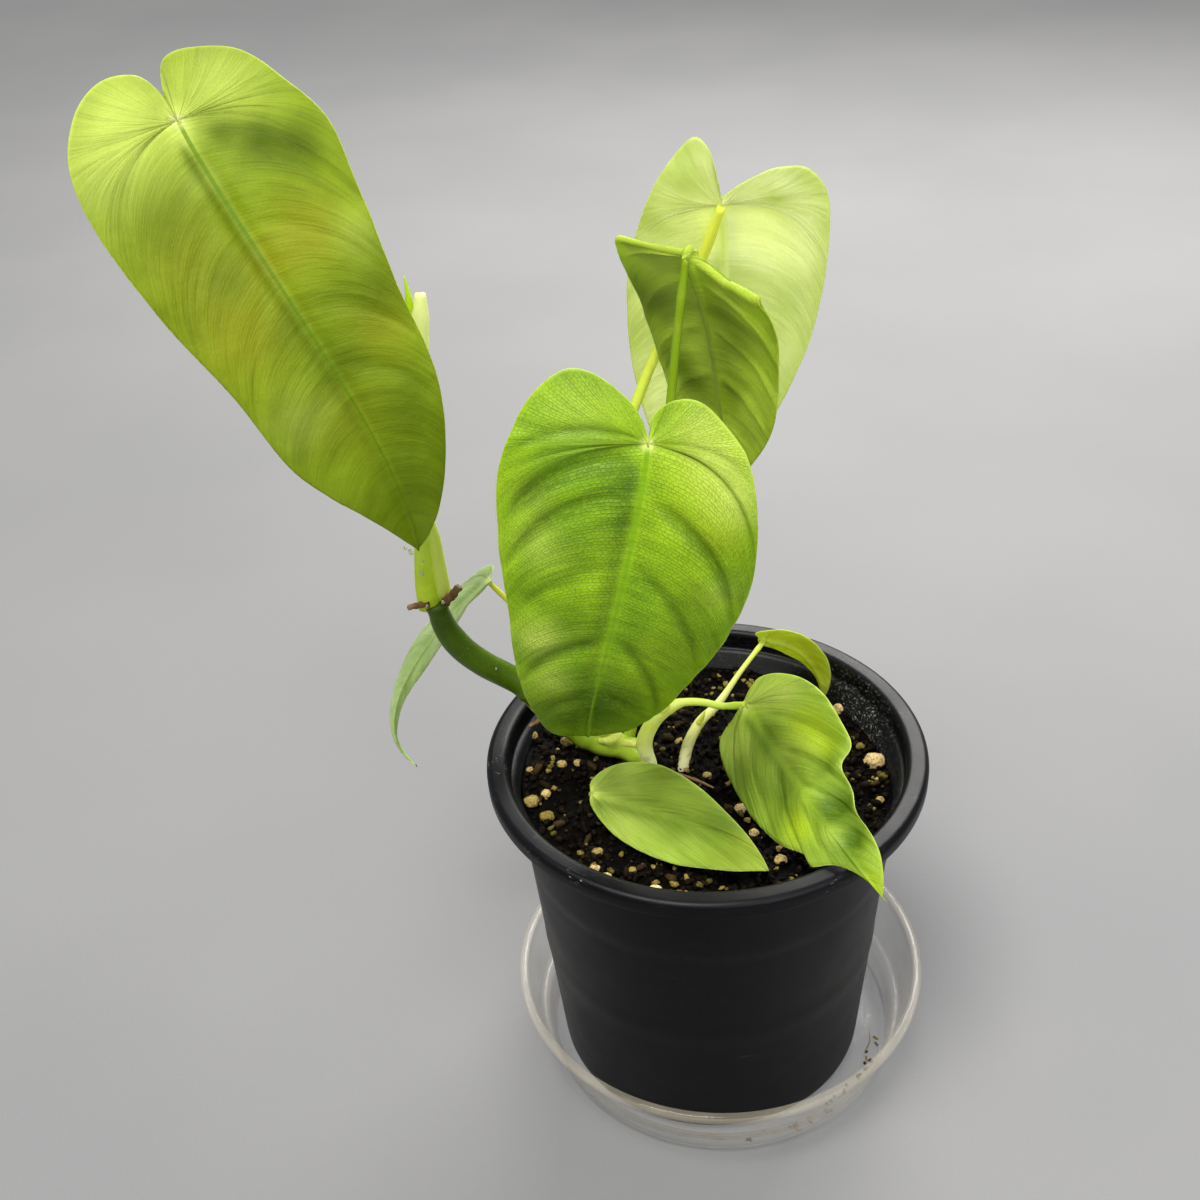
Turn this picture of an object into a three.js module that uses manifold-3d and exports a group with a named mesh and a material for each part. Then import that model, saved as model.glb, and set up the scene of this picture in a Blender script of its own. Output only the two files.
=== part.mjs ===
// Potted philodendron: eight heart-shaped leaves on a creeping stem, in a nursery pot on a clear saucer.
// Millimetres, +Z up. The pot's axis is X = 0, Y = 0, and the saucer rests on Z = 0.
// The plant's best side looks towards -Y.

import * as THREE from "three";
import { mergeVertices } from "three/addons/utils/BufferGeometryUtils.js";
import Module from "manifold-3d";

const wasm = await Module();
wasm.setup();

// Pot
const POT_LIP_RADIUS = 78.5;
const POT_TOP = 138.7;
const POT_LEDGE_HEIGHT = 131;
const POT_LEDGE_RADIUS = 70.6;
const POT_BASE_RADIUS = 58.6;
const POT_BASE_HEIGHT = 2.3;
const POT_WALL = 1.2;
const POT_TAPER = 0.0797;
const DRAIN_HOLES = 8;
const DRAIN_HOLE_RADIUS = 4;
const DRAIN_CIRCLE_RADIUS = 46;

// Saucer
const SAUCER_OFFSET_X = 3.6;
const SAUCER_RIM_RADIUS = 78.8;
const SAUCER_HEIGHT = 33.5;
const SAUCER_FOOT_RADIUS = 66.6;
const SAUCER_STEP_HEIGHT = 12;
const SAUCER_SKIN = 0.9;
const SAUCER_RIB_TOP = 2.0;
const SAUCER_RIBS = [26, 48];

// Soil: a level top that sinks a little towards the right, with low lumps
const SOIL_HEIGHT = 123.5;
const SOIL_SLOPE_X = -0.05;
const SOIL_SLOPE_Y = 0.02;
const SOIL_LUMPS = 0.8;

// Plant
const BLADE_THICKNESS = 0.8;
const STEM_RADIUS = 4.6;

// Space left between two pieces that touch
const GAP = 0.35;

const ROUND_SEGMENTS = 40;

const COLOURS = {
  blade: [0x6f9a12, 0.42],
  petiole: [0x8fb428, 0.45],
  stem: [0x4a6b10, 0.4],
  sheath: [0xdfe78a, 0.5],
  newLeaf: [0xb4d63a, 0.45],
  bark: [0x6b4e33, 0.85],
  soil: [0x3a2c22, 0.95],
  pumice: [0xcbbf95, 0.9],
  pot: [0x1b1c1e, 0.35],
  saucer: [0xd8d6cc, 0.12],
};

const group = new THREE.Group();

function vec(point) {
  return new THREE.Vector3(point[0], point[1], point[2]);
}

// Adds one piece, with its own material
function addPiece(name, geometry, finish) {
  const [color, roughness] = COLOURS[finish];
  const material = new THREE.MeshStandardMaterial({ color, roughness, metalness: 0 });
  const mesh = new THREE.Mesh(geometry, material);
  mesh.name = name;
  group.add(mesh);
}

function toSolid(geometry) {
  const bare = geometry.clone();
  bare.deleteAttribute("normal");
  bare.deleteAttribute("uv");
  const merged = mergeVertices(bare, 1e-4);
  const mesh = new wasm.Mesh({
    numProp: 3,
    vertProperties: Float32Array.from(merged.attributes.position.array),
    triVerts: Uint32Array.from(merged.index.array),
  });
  return new wasm.Manifold(mesh);
}

function toGeometry(solid) {
  const mesh = solid.getMesh();
  const positions = new Float32Array(mesh.vertProperties.length);
  positions.set(mesh.vertProperties);
  const geometry = new THREE.BufferGeometry();
  geometry.setAttribute("position", new THREE.BufferAttribute(positions, 3));
  geometry.setIndex(Array.from(mesh.triVerts));
  return geometry;
}

// Cuts the tools away from a piece
function cut(geometry, tools) {
  let solid = toSolid(geometry);
  for (const tool of tools) {
    solid = solid.subtract(toSolid(tool));
  }
  return toGeometry(solid);
}

function bodyFrom(points, triangles) {
  const geometry = new THREE.BufferGeometry();
  const coordinates = points.flatMap((point) => point.toArray());
  geometry.setAttribute("position", new THREE.Float32BufferAttribute(coordinates, 3));
  geometry.setIndex(triangles.flat());
  return geometry;
}

// Turned piece: the profile is a list of [radius, height] that starts and ends on the axis
function turned(profile) {
  const points = profile.map(([radius, height]) => new THREE.Vector2(radius, height));
  return new THREE.LatheGeometry(points, ROUND_SEGMENTS).rotateX(Math.PI / 2);
}

// Value at a share 0 to 1 of the way through an evenly spaced list
function blend(list, share) {
  const place = share * (list.length - 1);
  const index = Math.min(Math.floor(place), list.length - 2);
  return THREE.MathUtils.lerp(list[index], list[index + 1], place - index);
}

// Round shoot along hand-placed points. Its radii are spread evenly from base to tip, and extra makes it
// larger all round, ends included.
function shoot({ points, radii, sides = 8, steps = 12 }, extra = 0) {
  const curve = new THREE.CatmullRomCurve3(points.map(vec), false, "centripetal");
  const frames = curve.computeFrenetFrames(steps, false);
  const vertices = [];
  const triangles = [];
  const ends = [];
  for (let step = 0; step <= steps; step += 1) {
    const share = step / steps;
    const centre = curve.getPointAt(share);
    if (step === 0 || step === steps) {
      centre.addScaledVector(curve.getTangentAt(share), step === 0 ? -extra : extra);
      ends.push(centre.clone());
    }
    const radius = blend(radii, share) + extra;
    for (let side = 0; side < sides; side += 1) {
      const angle = (side / sides) * 2 * Math.PI;
      const out = frames.normals[step].clone().multiplyScalar(Math.cos(angle) * radius);
      out.addScaledVector(frames.binormals[step], Math.sin(angle) * radius);
      vertices.push(centre.clone().add(out));
    }
  }
  const first = vertices.push(ends[0]) - 1;
  const last = vertices.push(ends[1]) - 1;
  for (let side = 0; side < sides; side += 1) {
    const next = (side + 1) % sides;
    const top = steps * sides;
    triangles.push([first, next, side]);
    triangles.push([last, top + side, top + next]);
    for (let step = 0; step < steps; step += 1) {
      const low = step * sides;
      const high = low + sides;
      triangles.push([low + side, low + next, high + next]);
      triangles.push([low + side, high + next, high + side]);
    }
  }
  return bodyFrom(vertices, triangles);
}

// Closed body from a sheet: each point moves half the thickness out along its normal, on both sides
function thickSheet(points, faces, thickness) {
  const normals = points.map(() => new THREE.Vector3());
  const edges = new Map();
  for (const [a, b, c] of faces) {
    const ab = points[b].clone().sub(points[a]);
    const ac = points[c].clone().sub(points[a]);
    const normal = ab.cross(ac);
    for (const corner of [a, b, c]) {
      normals[corner].add(normal);
    }
    for (const [from, to] of [[a, b], [b, c], [c, a]]) {
      edges.set(`${from},${to}`, [from, to]);
    }
  }
  const count = points.length;
  const side = (sign) => points.map((point, index) => {
    const shift = normals[index].clone().normalize().multiplyScalar(sign * thickness / 2);
    return point.clone().add(shift);
  });
  const triangles = [];
  for (const [a, b, c] of faces) {
    triangles.push([a, b, c]);
    triangles.push([a + count, c + count, b + count]);
  }
  for (const [from, to] of edges.values()) {
    if (!edges.has(`${to},${from}`)) {
      triangles.push([from, from + count, to + count]);
      triangles.push([from, to + count, to]);
    }
  }
  return bodyFrom([...side(1), ...side(-1)], triangles);
}

// Distance out and height of a strip that leaves at an angle and bends by a fixed amount per millimetre
function arc(angle, bend, length) {
  const safe = Math.abs(bend) < 1e-6 ? 1e-6 : bend;
  const end = angle + safe * length;
  return [(Math.sin(end) - Math.sin(angle)) / safe, (Math.cos(angle) - Math.cos(end)) / safe];
}

// Surface of a leaf blade. Along runs on the midrib from the stalk's joint, across is positive on the
// right half as seen with the upper face to the viewer and the tip away.
class Blade {
  constructor(leaf) {
    this.leaf = leaf;
    this.rib = new THREE.CubicBezierCurve3(...leaf.rib.map(vec));
    this.rib.arcLengthDivisions = 200;
    this.length = this.rib.getLength();
  }

  // Direction of the rib, of the right side and of the upper face, at a share of the rib
  frame(share) {
    const along = this.rib.getTangentAt(share);
    const face = vec(this.leaf.face[0]).lerp(vec(this.leaf.face[1]), share);
    const right = along.clone().cross(face).normalize();
    return { along, right, up: right.clone().cross(along) };
  }

  point(along, across, half) {
    const { fold, curl = [0, 0], lobeStart = 0, lobeBend, lobeTurn = 9 } = this.leaf;
    const start = half === "right" ? lobeStart * Math.min(Math.abs(across) / 12, 1) : 0;
    const onRib = THREE.MathUtils.clamp(along, start, this.length);
    const share = onRib / this.length;
    const frame = this.frame(share);
    const [foldBase, foldTip] = fold[half] ?? fold;
    const [curlBase, curlTip] = curl[half] ?? curl;
    const angle = THREE.MathUtils.degToRad(THREE.MathUtils.lerp(foldBase, foldTip, share));
    const [out, rise] = arc(angle, THREE.MathUtils.lerp(curlBase, curlTip, share), Math.abs(across));
    const behind = Math.max(start - along, 0);
    const bent = Math.min(behind, lobeTurn / lobeBend);
    const turn = lobeBend * bent;
    const [back, lift] = arc(0, lobeBend, bent);
    const point = this.rib.getPointAt(share);
    point.addScaledVector(frame.along, Math.max(along - this.length, 0));
    point.addScaledVector(frame.along, -back - Math.cos(turn) * (behind - bent));
    point.addScaledVector(frame.up, lift + Math.sin(turn) * (behind - bent));
    point.addScaledVector(frame.right, half === "right" ? out : -out);
    point.addScaledVector(frame.up, Math.cos(turn) * rise);
    point.addScaledVector(frame.along, Math.sin(turn) * rise);
    return point;
  }
}

// Rows of a half blade follow its side veins, from the midrib out to the margin
function bladeSheet(leaf, rows, columns) {
  const blade = new Blade(leaf);
  const points = [];
  const places = new Map();
  const faces = [];
  const indexAt = (along, across, half) => {
    const signed = half === "right" ? across : -across;
    const key = `${along.toFixed(2)},${(signed + 0).toFixed(2).replace("-0.00", "0.00")}`;
    if (!places.has(key)) {
      places.set(key, points.push(blade.point(along, across, half)) - 1);
    }
    return places.get(key);
  };
  for (const half of ["right", "left"]) {
    const margin = new THREE.SplineCurve(leaf[half].map(([x, y]) => new THREE.Vector2(x, y)));
    const grid = [];
    for (let row = 0; row <= rows; row += 1) {
      const share = row / rows;
      const end = margin.getPoint(share);
      const root = blade.length * Math.pow(THREE.MathUtils.clamp((share - 0.3) / 0.7, 0, 1), 1.15);
      const start = new THREE.Vector2(root, 0);
      const middle = new THREE.Vector2(root + (end.x - root) * 0.32, end.y * 0.62);
      const vein = new THREE.QuadraticBezierCurve(start, middle, end);
      const line = [];
      for (let column = 0; column <= columns; column += 1) {
        const place = vein.getPoint(column / columns);
        line.push(indexAt(place.x, Math.max(place.y, 0), half));
      }
      grid.push(line);
    }
    for (let row = 0; row < rows; row += 1) {
      for (let column = 0; column < columns; column += 1) {
        const a = grid[row][column];
        const b = grid[row + 1][column];
        const c = grid[row + 1][column + 1];
        const d = grid[row][column + 1];
        for (const face of [[a, b, c], [a, c, d]]) {
          if (new Set(face).size === 3) {
            faces.push(half === "right" ? face.reverse() : face);
          }
        }
      }
    }
  }
  return { points, faces };
}

// Point on the upper or under side of a blade's joint, a given distance off its middle surface
function jointOffset(leaf, distance) {
  const blade = new Blade(leaf);
  return blade.rib.getPointAt(0).addScaledVector(blade.frame(0).up, distance).toArray();
}

function soilTop(x, y) {
  const lumps = Math.sin(0.21 * x + 0.5) * Math.cos(0.17 * y) + 0.6 * Math.sin(0.13 * x - 0.31 * y);
  return SOIL_HEIGHT + SOIL_SLOPE_X * x + SOIL_SLOPE_Y * y + SOIL_LUMPS * lumps;
}

// Leaf blades. rib: control points of the midrib, from the stalk's joint to the tip.
// face: way the upper side looks, at the joint and at the tip. fold: degrees each half rises, base and tip.
// right, left: margin of each half from the notch to the tip, as [along the rib, out from it].
const LEAVES = {
  upper_left: {
    rib: [[-135.5, -24, 373.3], [-112.7, -40, 330.7], [-86, -34, 280], [-90, -14, 232.5]],
    face: [[0.45, -0.72, 0.52], [0.35, -0.93, -0.1]],
    fold: [10, 6],
    curl: [-0.004, -0.004],
    lobeBend: 0.008,
    right: [[-3.5, 0], [-9, 0.5], [-14.5, 4.5], [-16, 14], [-11, 24], [0, 32], [15, 34.5], [40, 32.5],
      [67, 28], [98, 25], [125, 14], [146, 4], [154, 0]],
    left: [[-3.5, 0], [-10, 1.2], [-15.5, 5], [-15, 13], [-9.5, 24], [2, 31], [18, 36], [38, 33],
      [65, 28], [93, 25], [120, 16], [143, 6], [154, 0]],
    rows: 14,
    columns: 3,
  },
  front: {
    rib: [[-14.4, -45, 285], [-18, -63, 256], [-43, -59, 178], [-38, -21, 163]],
    face: [[0, -0.84, 0.54], [0, -0.6, -0.8]],
    fold: [6, 0],
    curl: [-0.006, -0.016],
    lobeBend: 0.012,
    right: [[-2, 0], [-8, 3], [-14, 9], [-19, 18], [-18.5, 26], [-10, 34.5], [2, 39.5], [20, 41.5],
      [40, 37.5], [62, 31], [85, 25.5], [108, 17.5], [127, 8], [139, 0]],
    left: [[-2, 0], [-8, 1], [-12.5, 6], [-13, 13], [-8, 20], [3, 29], [18, 34], [38, 36.5],
      [60, 34], [85, 28], [108, 19], [127, 8.5], [139, 0]],
    rows: 14,
    columns: 3,
  },
  back_folded: {
    rib: [[-2.9, 35, 308], [8.6, 43.6, 277.8], [6.6, 48.4, 244.4], [12.3, 55, 212.7]],
    face: [[0.65, 0.7, 0.3], [0.65, 0.7, 0.3]],
    fold: [0, 0],
    lobeStart: 9,
    lobeBend: 0.3,
    lobeTurn: 2.4,
    right: [[-1.5, 0], [-6, 2], [-11, 7], [-12, 14], [-8, 23], [2, 31], [12, 32.5], [24, 28.5],
      [43, 26], [58, 23.5], [70, 18.5], [84, 10], [94, 3], [99, 0]],
    left: [[-1.5, 0], [-7, 2], [-13, 8], [-14, 17], [-8, 27], [3, 34], [18, 34.5], [36, 31],
      [52, 28], [65, 24], [80, 15], [92, 5], [99, 0]],
    rows: 14,
    columns: 3,
  },
  back_pale: {
    rib: [[8.8, 69, 311.9], [12.4, 81, 269.6], [2.2, 88, 225.8], [-2.3, 90, 182.2]],
    face: [[0.07, 0.96, 0.28], [0.11, 0.99, 0.03]],
    fold: [12, 8],
    lobeBend: 0.01,
    right: [[-2.5, 0], [-7, 7], [-10.5, 17], [-9, 28], [0, 34.5], [14, 36], [44, 34.3], [72, 29],
      [96, 21], [115, 11], [127, 3], [132.4, 0]],
    left: [[-2.5, 0], [-11, 0.5], [-20, 2.5], [-24.5, 7], [-20, 13], [-8, 22], [8, 29], [30, 34.5],
      [55, 34], [80, 29], [102, 20], [120, 9], [129, 2], [132.4, 0]],
    rows: 14,
    columns: 3,
  },
  rim: {
    rib: [[14, 0, 157], [31, -19, 139.5], [37, -60, 152.5], [56, -76.5, 137.5]],
    face: [[-0.36, -0.81, 0.46], [-0.25, -0.78, 0.58]],
    fold: [4, 2],
    curl: [-0.008, -0.008],
    lobeBend: 0.01,
    right: [[-1, 0], [1, 6], [4, 15], [10, 19.3], [18, 21], [32, 21], [48, 17.5], [60, 11.5],
      [65, 12], [71, 5], [80, 0.8], [89, 0]],
    left: [[-1, 0], [-3.5, 5], [-4.5, 11], [-1, 18], [6, 23], [17, 25.7], [32, 25], [41.5, 23],
      [45, 16.5], [53, 14.5], [62, 11], [74, 10], [82, 6.5], [89, 0]],
    rows: 16,
    columns: 3,
  },
  low_front: {
    rib: [[-39.8, -24, 138.2], [-17.5, -27.7, 132.5], [5.2, -39, 134.7], [20, -57, 132.8]],
    face: [[0.05, -0.6, 0.8], [-0.2, -0.4, 0.89]],
    fold: [8, 8],
    curl: [-0.004, -0.004],
    lobeBend: 0.01,
    right: [[0, 0], [1, 4], [7, 9], [15, 13], [27, 15.3], [40, 14.8], [53, 11], [62, 7], [70, 0]],
    left: [[0, 0], [-1.2, 4], [3, 10], [10, 14], [20, 16], [33, 13.5], [47, 8.5], [60, 4], [70, 0]],
    rows: 10,
    columns: 2,
  },
  low_back: {
    rib: [[22.7, 39, 157.5], [36.3, 43, 153.6], [45.2, 45.7, 138.7], [45.6, 45, 124.6]],
    face: [[-0.05, 0.78, 0.62], [0.94, 0.34, 0.01]],
    fold: [0, 0],
    lobeBend: 0.02,
    right: [[-1, 0], [-4, 2], [-6, 5], [-4, 9], [2, 12.5], [12, 13], [23, 10.5], [33, 6.5], [41, 2], [44, 0]],
    left: [[-1, 0], [-1.5, 1.5], [-1, 4], [1, 7], [6, 10.5], [14, 13], [24, 13], [33, 9], [41, 3], [44, 0]],
    rows: 10,
    columns: 2,
  },
  hanging: {
    rib: [[-79, 43, 183], [-95, 45, 169], [-141, 50, 112], [-116, 44, 94]],
    face: [[-0.67, 0, 0.74], [-0.15, -0.98, 0.13]],
    fold: { right: [2, -34], left: [12, -91] },
    lobeBend: 0.01,
    right: [[-1, 0], [-2, 2], [-3, 4], [-2, 7], [4, 10], [19, 10.7], [43, 9.3], [66, 6.4], [85, 3.2],
      [98, 1], [106, 0]],
    left: [[-1, 0], [-2, 1], [-3, 2.5], [-2, 4], [4, 5.5], [19, 6], [43, 5], [66, 3.5], [85, 1.8],
      [98, 0.6], [106, 0]],
    rows: 12,
    columns: 2,
  },
};

// Stalk of each leaf, from where it leaves the stem or the soil up to its blade's joint.
// reach: distance from the blade's middle surface to the stalk's end, where it isn't the usual one.
const STALKS = {
  upper_left: {
    points: [[-89.8, 14, 196], [-90.2, 13, 211.4], [-90.9, 12, 224], [-97.2, 8, 249.5],
      [-109.2, 0, 290.9], [-121.5, -10, 330.5], [-130.4, -19, 359]],
    radii: [3, 2.4, 2.1, 1.9, 1.7, 1.3],
    steps: 16,
  },
  front: {
    points: [[-36.8, 8, 135], [-32.4, 0, 160.1], [-27.7, -10, 193], [-21.5, -25, 234.1], [-16.6, -38, 266.4]],
    radii: [2.6, 2.2, 1.9, 1.6, 1.3],
    steps: 12,
  },
  back_folded: {
    points: [[-28, 14, 132.8], [-23, 15, 157.3], [-17.6, 18, 189.9], [-13, 23, 227.2], [-9.1, 29, 262.5],
      [-6.2, 32, 285.8]],
    radii: [2.4, 2.1, 1.8, 1.5, 1.2],
    steps: 12,
  },
  back_pale: {
    points: [[-54.7, 18, 140.8], [-49.7, 26, 167.6], [-39.5, 43, 208], [-22.7, 63, 242.5],
      [-15.3, 69.5, 258], [-7.9, 71.5, 271.5], [1.1, 71, 291]],
    radii: [2.6, 2.3, 2, 1.8, 1.5],
    steps: 14,
  },
  rim: {
    points: [[-20.4, 7, 121], [-22.3, 8, 132.9], [-19.8, 8, 141.3], [-14.9, 7, 148.9], [-8.7, 6, 153.6],
      [-1.6, 5, 154.7], [6.1, 4, 153.6]],
    radii: [3, 2.8, 2.4, 1.5, 1.2],
    steps: 16,
  },
  low_front: {
    points: [[-27, -18, 118], [-31, -20, 126], [-36, -22, 133]],
    radii: [1.8, 1.5, 1.1],
    steps: 8,
  },
  low_back: {
    points: [[-9, 6, 118], [-8.3, 7, 123.1], [-6.4, 12, 129.3], [-1.8, 17, 136], [4.7, 22, 140.2],
      [13.7, 30, 149.6]],
    radii: [2.2, 1.6, 1.2, 0.9],
    steps: 12,
  },
  hanging: {
    points: [[-33, 17, 118], [-39, 22, 133.6], [-48.1, 28, 143.2], [-60.5, 36, 160.7], [-71, 41, 174.1]],
    radii: [1.6, 1.4, 1.1, 0.9],
    steps: 12,
    reach: 1.2,
  },
};

const STEM = {
  points: [[-91.9, 10, 195.3], [-89.6, 10, 185.1], [-84.9, 10, 176.4], [-78, 11, 168.5], [-71.2, 13, 162],
    [-65.6, 14, 157.1], [-57.8, 13, 149], [-48.4, 11, 139.8], [-38.5, 10, 132.9], [-29.5, 10, 130.5],
    [-24, 9, 127], [-21.5, 8, 119]],
  radii: [3.6, STEM_RADIUS, STEM_RADIUS, STEM_RADIUS, STEM_RADIUS, STEM_RADIUS, STEM_RADIUS, 4],
  sides: 12,
  steps: 26,
};

// Sheath leaf at the growing tip, and the rolled new leaf that it holds
const CATAPHYLL = {
  points: [[-95.1, 12, 196], [-95, 12, 204], [-94.5, 11, 212.8], [-90.3, 12, 254.5], [-86.5, 13, 292.6],
    [-84.9, 13, 301.8], [-84.3, 13, 307.7]],
  radii: [3.6, 3.4, 2.9, 2.3, 2.2, 2.6, 3, 2.2],
  sides: 10,
  steps: 16,
};
const NEW_LEAF = {
  points: [[-91.8, 16.5, 199], [-91.4, 16.5, 225], [-90.3, 16, 255], [-88.4, 15.5, 290], [-88.3, 14, 307.7],
    [-88.7, 14, 313.2]],
  radii: [1.3, 1.4, 1.4, 1.4, 1.4, 0.3],
  sides: 8,
  steps: 14,
};

// Short roots at the stem's joints, and litter that lies on the soil
const ROOTS = {
  root_left: { points: [[-94, 9, 196.2], [-97.5, 8, 196.4], [-101, 6, 196.6]], radii: [1.3, 1.1, 0.9] },
  root_right: { points: [[-88.5, 9, 196.5], [-86, 9.5, 199], [-83, 10, 202.3]], radii: [1.6, 1.5, 1.3] },
  root_middle: { points: [[-58, 10, 147], [-60, 8, 145], [-63.4, 7, 143.2]], radii: [0.9, 0.8, 0.5] },
};
const FIBRE = {
  points: [[-16.8, 1, 126], [-10, -3, 126.3], [-3, -5, 124.9], [3.2, -7, 124.7]],
  radii: [0.5, 0.6, 0.5, 0.3],
  sides: 6,
  steps: 8,
};

// Pumice stones on the soil: [x, y, size across]
const STONES = [
  [61.6, 11.4, 7.4], [-62, -15.5, 5.8], [-56.1, -22.4, 5], [-51.6, 18.1, 4.2], [-37.4, -39.5, 4],
  [-17.6, -57.2, 5], [12.5, -16.6, 4.8], [24.8, -40.4, 4.2], [49.4, 40.2, 5], [42.9, -41.7, 4.4],
];

// Pot: thin tapered wall that widens at an inner ledge into a rolled lip, hollow below
function potProfile() {
  const wallRadius = (height) => POT_BASE_RADIUS + POT_TAPER * (height - POT_BASE_HEIGHT);
  const neck = POT_LEDGE_HEIGHT - POT_WALL;
  const skirt = POT_LIP_RADIUS - 1.3;
  return [
    [0, POT_BASE_HEIGHT],
    [POT_BASE_RADIUS - 2.2, POT_BASE_HEIGHT],
    [POT_BASE_RADIUS - 0.6, POT_BASE_HEIGHT + 0.7],
    [POT_BASE_RADIUS + 0.1, POT_BASE_HEIGHT + 2.2],
    [wallRadius(neck), neck],
    [POT_LEDGE_RADIUS + POT_WALL, neck],
    [POT_LEDGE_RADIUS + POT_WALL, POT_TOP - 2.4],
    [POT_LIP_RADIUS - 3.6, POT_TOP - 1.6],
    [skirt - 0.6, POT_TOP - 3],
    [skirt, POT_TOP - 5.9],
    [POT_LIP_RADIUS, POT_TOP - 5.9],
    [POT_LIP_RADIUS - 0.2, POT_TOP - 3.4],
    [POT_LIP_RADIUS - 1, POT_TOP - 1.2],
    [POT_LIP_RADIUS - 2.5, POT_TOP],
    [POT_LIP_RADIUS - 5.5, POT_TOP],
    [POT_LEDGE_RADIUS + 0.6, POT_TOP - 1.2],
    [POT_LEDGE_RADIUS, POT_TOP - 3],
    [POT_LEDGE_RADIUS, POT_LEDGE_HEIGHT],
    [wallRadius(POT_LEDGE_HEIGHT) - POT_WALL, POT_LEDGE_HEIGHT - 0.4],
    [POT_BASE_RADIUS - POT_WALL, POT_BASE_HEIGHT + 2.6],
    [POT_BASE_RADIUS - 2.8, POT_BASE_HEIGHT + POT_WALL],
    [0, POT_BASE_HEIGHT + POT_WALL],
  ];
}

function makePot() {
  const holes = [];
  for (let index = 0; index < DRAIN_HOLES; index += 1) {
    const angle = ((index + 0.5) / DRAIN_HOLES) * 2 * Math.PI;
    const hole = new THREE.CylinderGeometry(DRAIN_HOLE_RADIUS, DRAIN_HOLE_RADIUS, 6, 12);
    hole.rotateX(Math.PI / 2);
    const x = DRAIN_CIRCLE_RADIUS * Math.cos(angle);
    const y = DRAIN_CIRCLE_RADIUS * Math.sin(angle);
    hole.translate(x, y, POT_BASE_HEIGHT);
    holes.push(hole);
  }
  return cut(turned(potProfile()), holes);
}

// Saucer: flat foot, a step part way up the flared wall, a rolled rim, and ribs that carry the pot
function makeSaucer() {
  const step = SAUCER_STEP_HEIGHT;
  const rim = SAUCER_RIM_RADIUS;
  const top = SAUCER_HEIGHT;
  const ribs = [...SAUCER_RIBS].reverse().flatMap((radius) => [
    [radius + 1.2, SAUCER_SKIN],
    [radius + 0.7, SAUCER_RIB_TOP],
    [radius - 0.7, SAUCER_RIB_TOP],
    [radius - 1.2, SAUCER_SKIN],
  ]);
  const profile = [
    [0, 0],
    [SAUCER_FOOT_RADIUS, 0],
    [SAUCER_FOOT_RADIUS + 1.2, 0.9],
    [69.4, step - 0.4],
    [71.6, step + 0.5],
    [rim - 2.4, top - 2.8],
    [rim - 0.5, top - 2.6],
    [rim, top - 1.4],
    [rim - 0.5, top - 0.2],
    [rim - 2, top],
    [rim - 3.3, top - 0.9],
    [rim - 3.6, top - 2.4],
    [70.9, step + 1.4],
    [68.6, step + 0.4],
    [SAUCER_FOOT_RADIUS + 0.4, 1.8],
    [SAUCER_FOOT_RADIUS - 0.6, SAUCER_SKIN],
    ...ribs,
    [0, SAUCER_SKIN],
  ];
  return turned(profile).translate(SAUCER_OFFSET_X, 0, 0);
}

// Soil plug with an uneven top, a little smaller than the pot's inside
function makeSoil(tools) {
  const low = POT_BASE_HEIGHT + POT_WALL + GAP;
  const inside = (height) => POT_BASE_RADIUS - POT_WALL - GAP + POT_TAPER * (height - POT_BASE_HEIGHT);
  const rings = [0.22, 0.44, 0.66, 0.85, 1];
  const points = [new THREE.Vector3(0, 0, soilTop(0, 0)), new THREE.Vector3(0, 0, low)];
  const triangles = [];
  const ringPoint = (radius, index, height) => {
    const angle = (index / ROUND_SEGMENTS) * 2 * Math.PI;
    const x = radius * Math.sin(angle);
    const y = -radius * Math.cos(angle);
    return new THREE.Vector3(x, y, height ?? soilTop(x, y));
  };
  const starts = rings.map((share) => {
    const start = points.length;
    for (let index = 0; index < ROUND_SEGMENTS; index += 1) {
      points.push(ringPoint(share * inside(SOIL_HEIGHT - 4), index));
    }
    return start;
  });
  const foot = points.length;
  for (let index = 0; index < ROUND_SEGMENTS; index += 1) {
    points.push(ringPoint(inside(low) - 2, index, low));
  }
  for (let index = 0; index < ROUND_SEGMENTS; index += 1) {
    const next = (index + 1) % ROUND_SEGMENTS;
    triangles.push([0, starts[0] + index, starts[0] + next]);
    triangles.push([1, foot + next, foot + index]);
    for (let ring = 0; ring + 1 < rings.length; ring += 1) {
      const inner = starts[ring];
      const outer = starts[ring + 1];
      triangles.push([inner + index, outer + index, outer + next]);
      triangles.push([inner + index, outer + next, inner + next]);
    }
    const edge = starts[rings.length - 1];
    triangles.push([edge + index, foot + index, foot + next]);
    triangles.push([edge + index, foot + next, edge + next]);
  }
  return cut(bodyFrom(points, triangles), tools);
}

// Uneven stone, half sunk in the soil
function makeStone([x, y, size], order, extra = 0) {
  const stone = new THREE.IcosahedronGeometry(1, 1);
  stone.deleteAttribute("normal");
  stone.deleteAttribute("uv");
  const geometry = mergeVertices(stone, 1e-4);
  const position = geometry.attributes.position;
  const radius = size / 2 + extra;
  for (let index = 0; index < position.count; index += 1) {
    const p = new THREE.Vector3().fromBufferAttribute(position, index);
    const bump = 1 + 0.12 * Math.sin(3.1 * p.x + order) + 0.1 * Math.sin(4.3 * p.y - 2 * order);
    p.multiplyScalar(radius * bump);
    position.setXYZ(index, x + p.x * 1.05, y + p.y * 0.9, soilTop(x, y) + 0.15 * size + p.z * 0.8);
  }
  return geometry;
}

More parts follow.
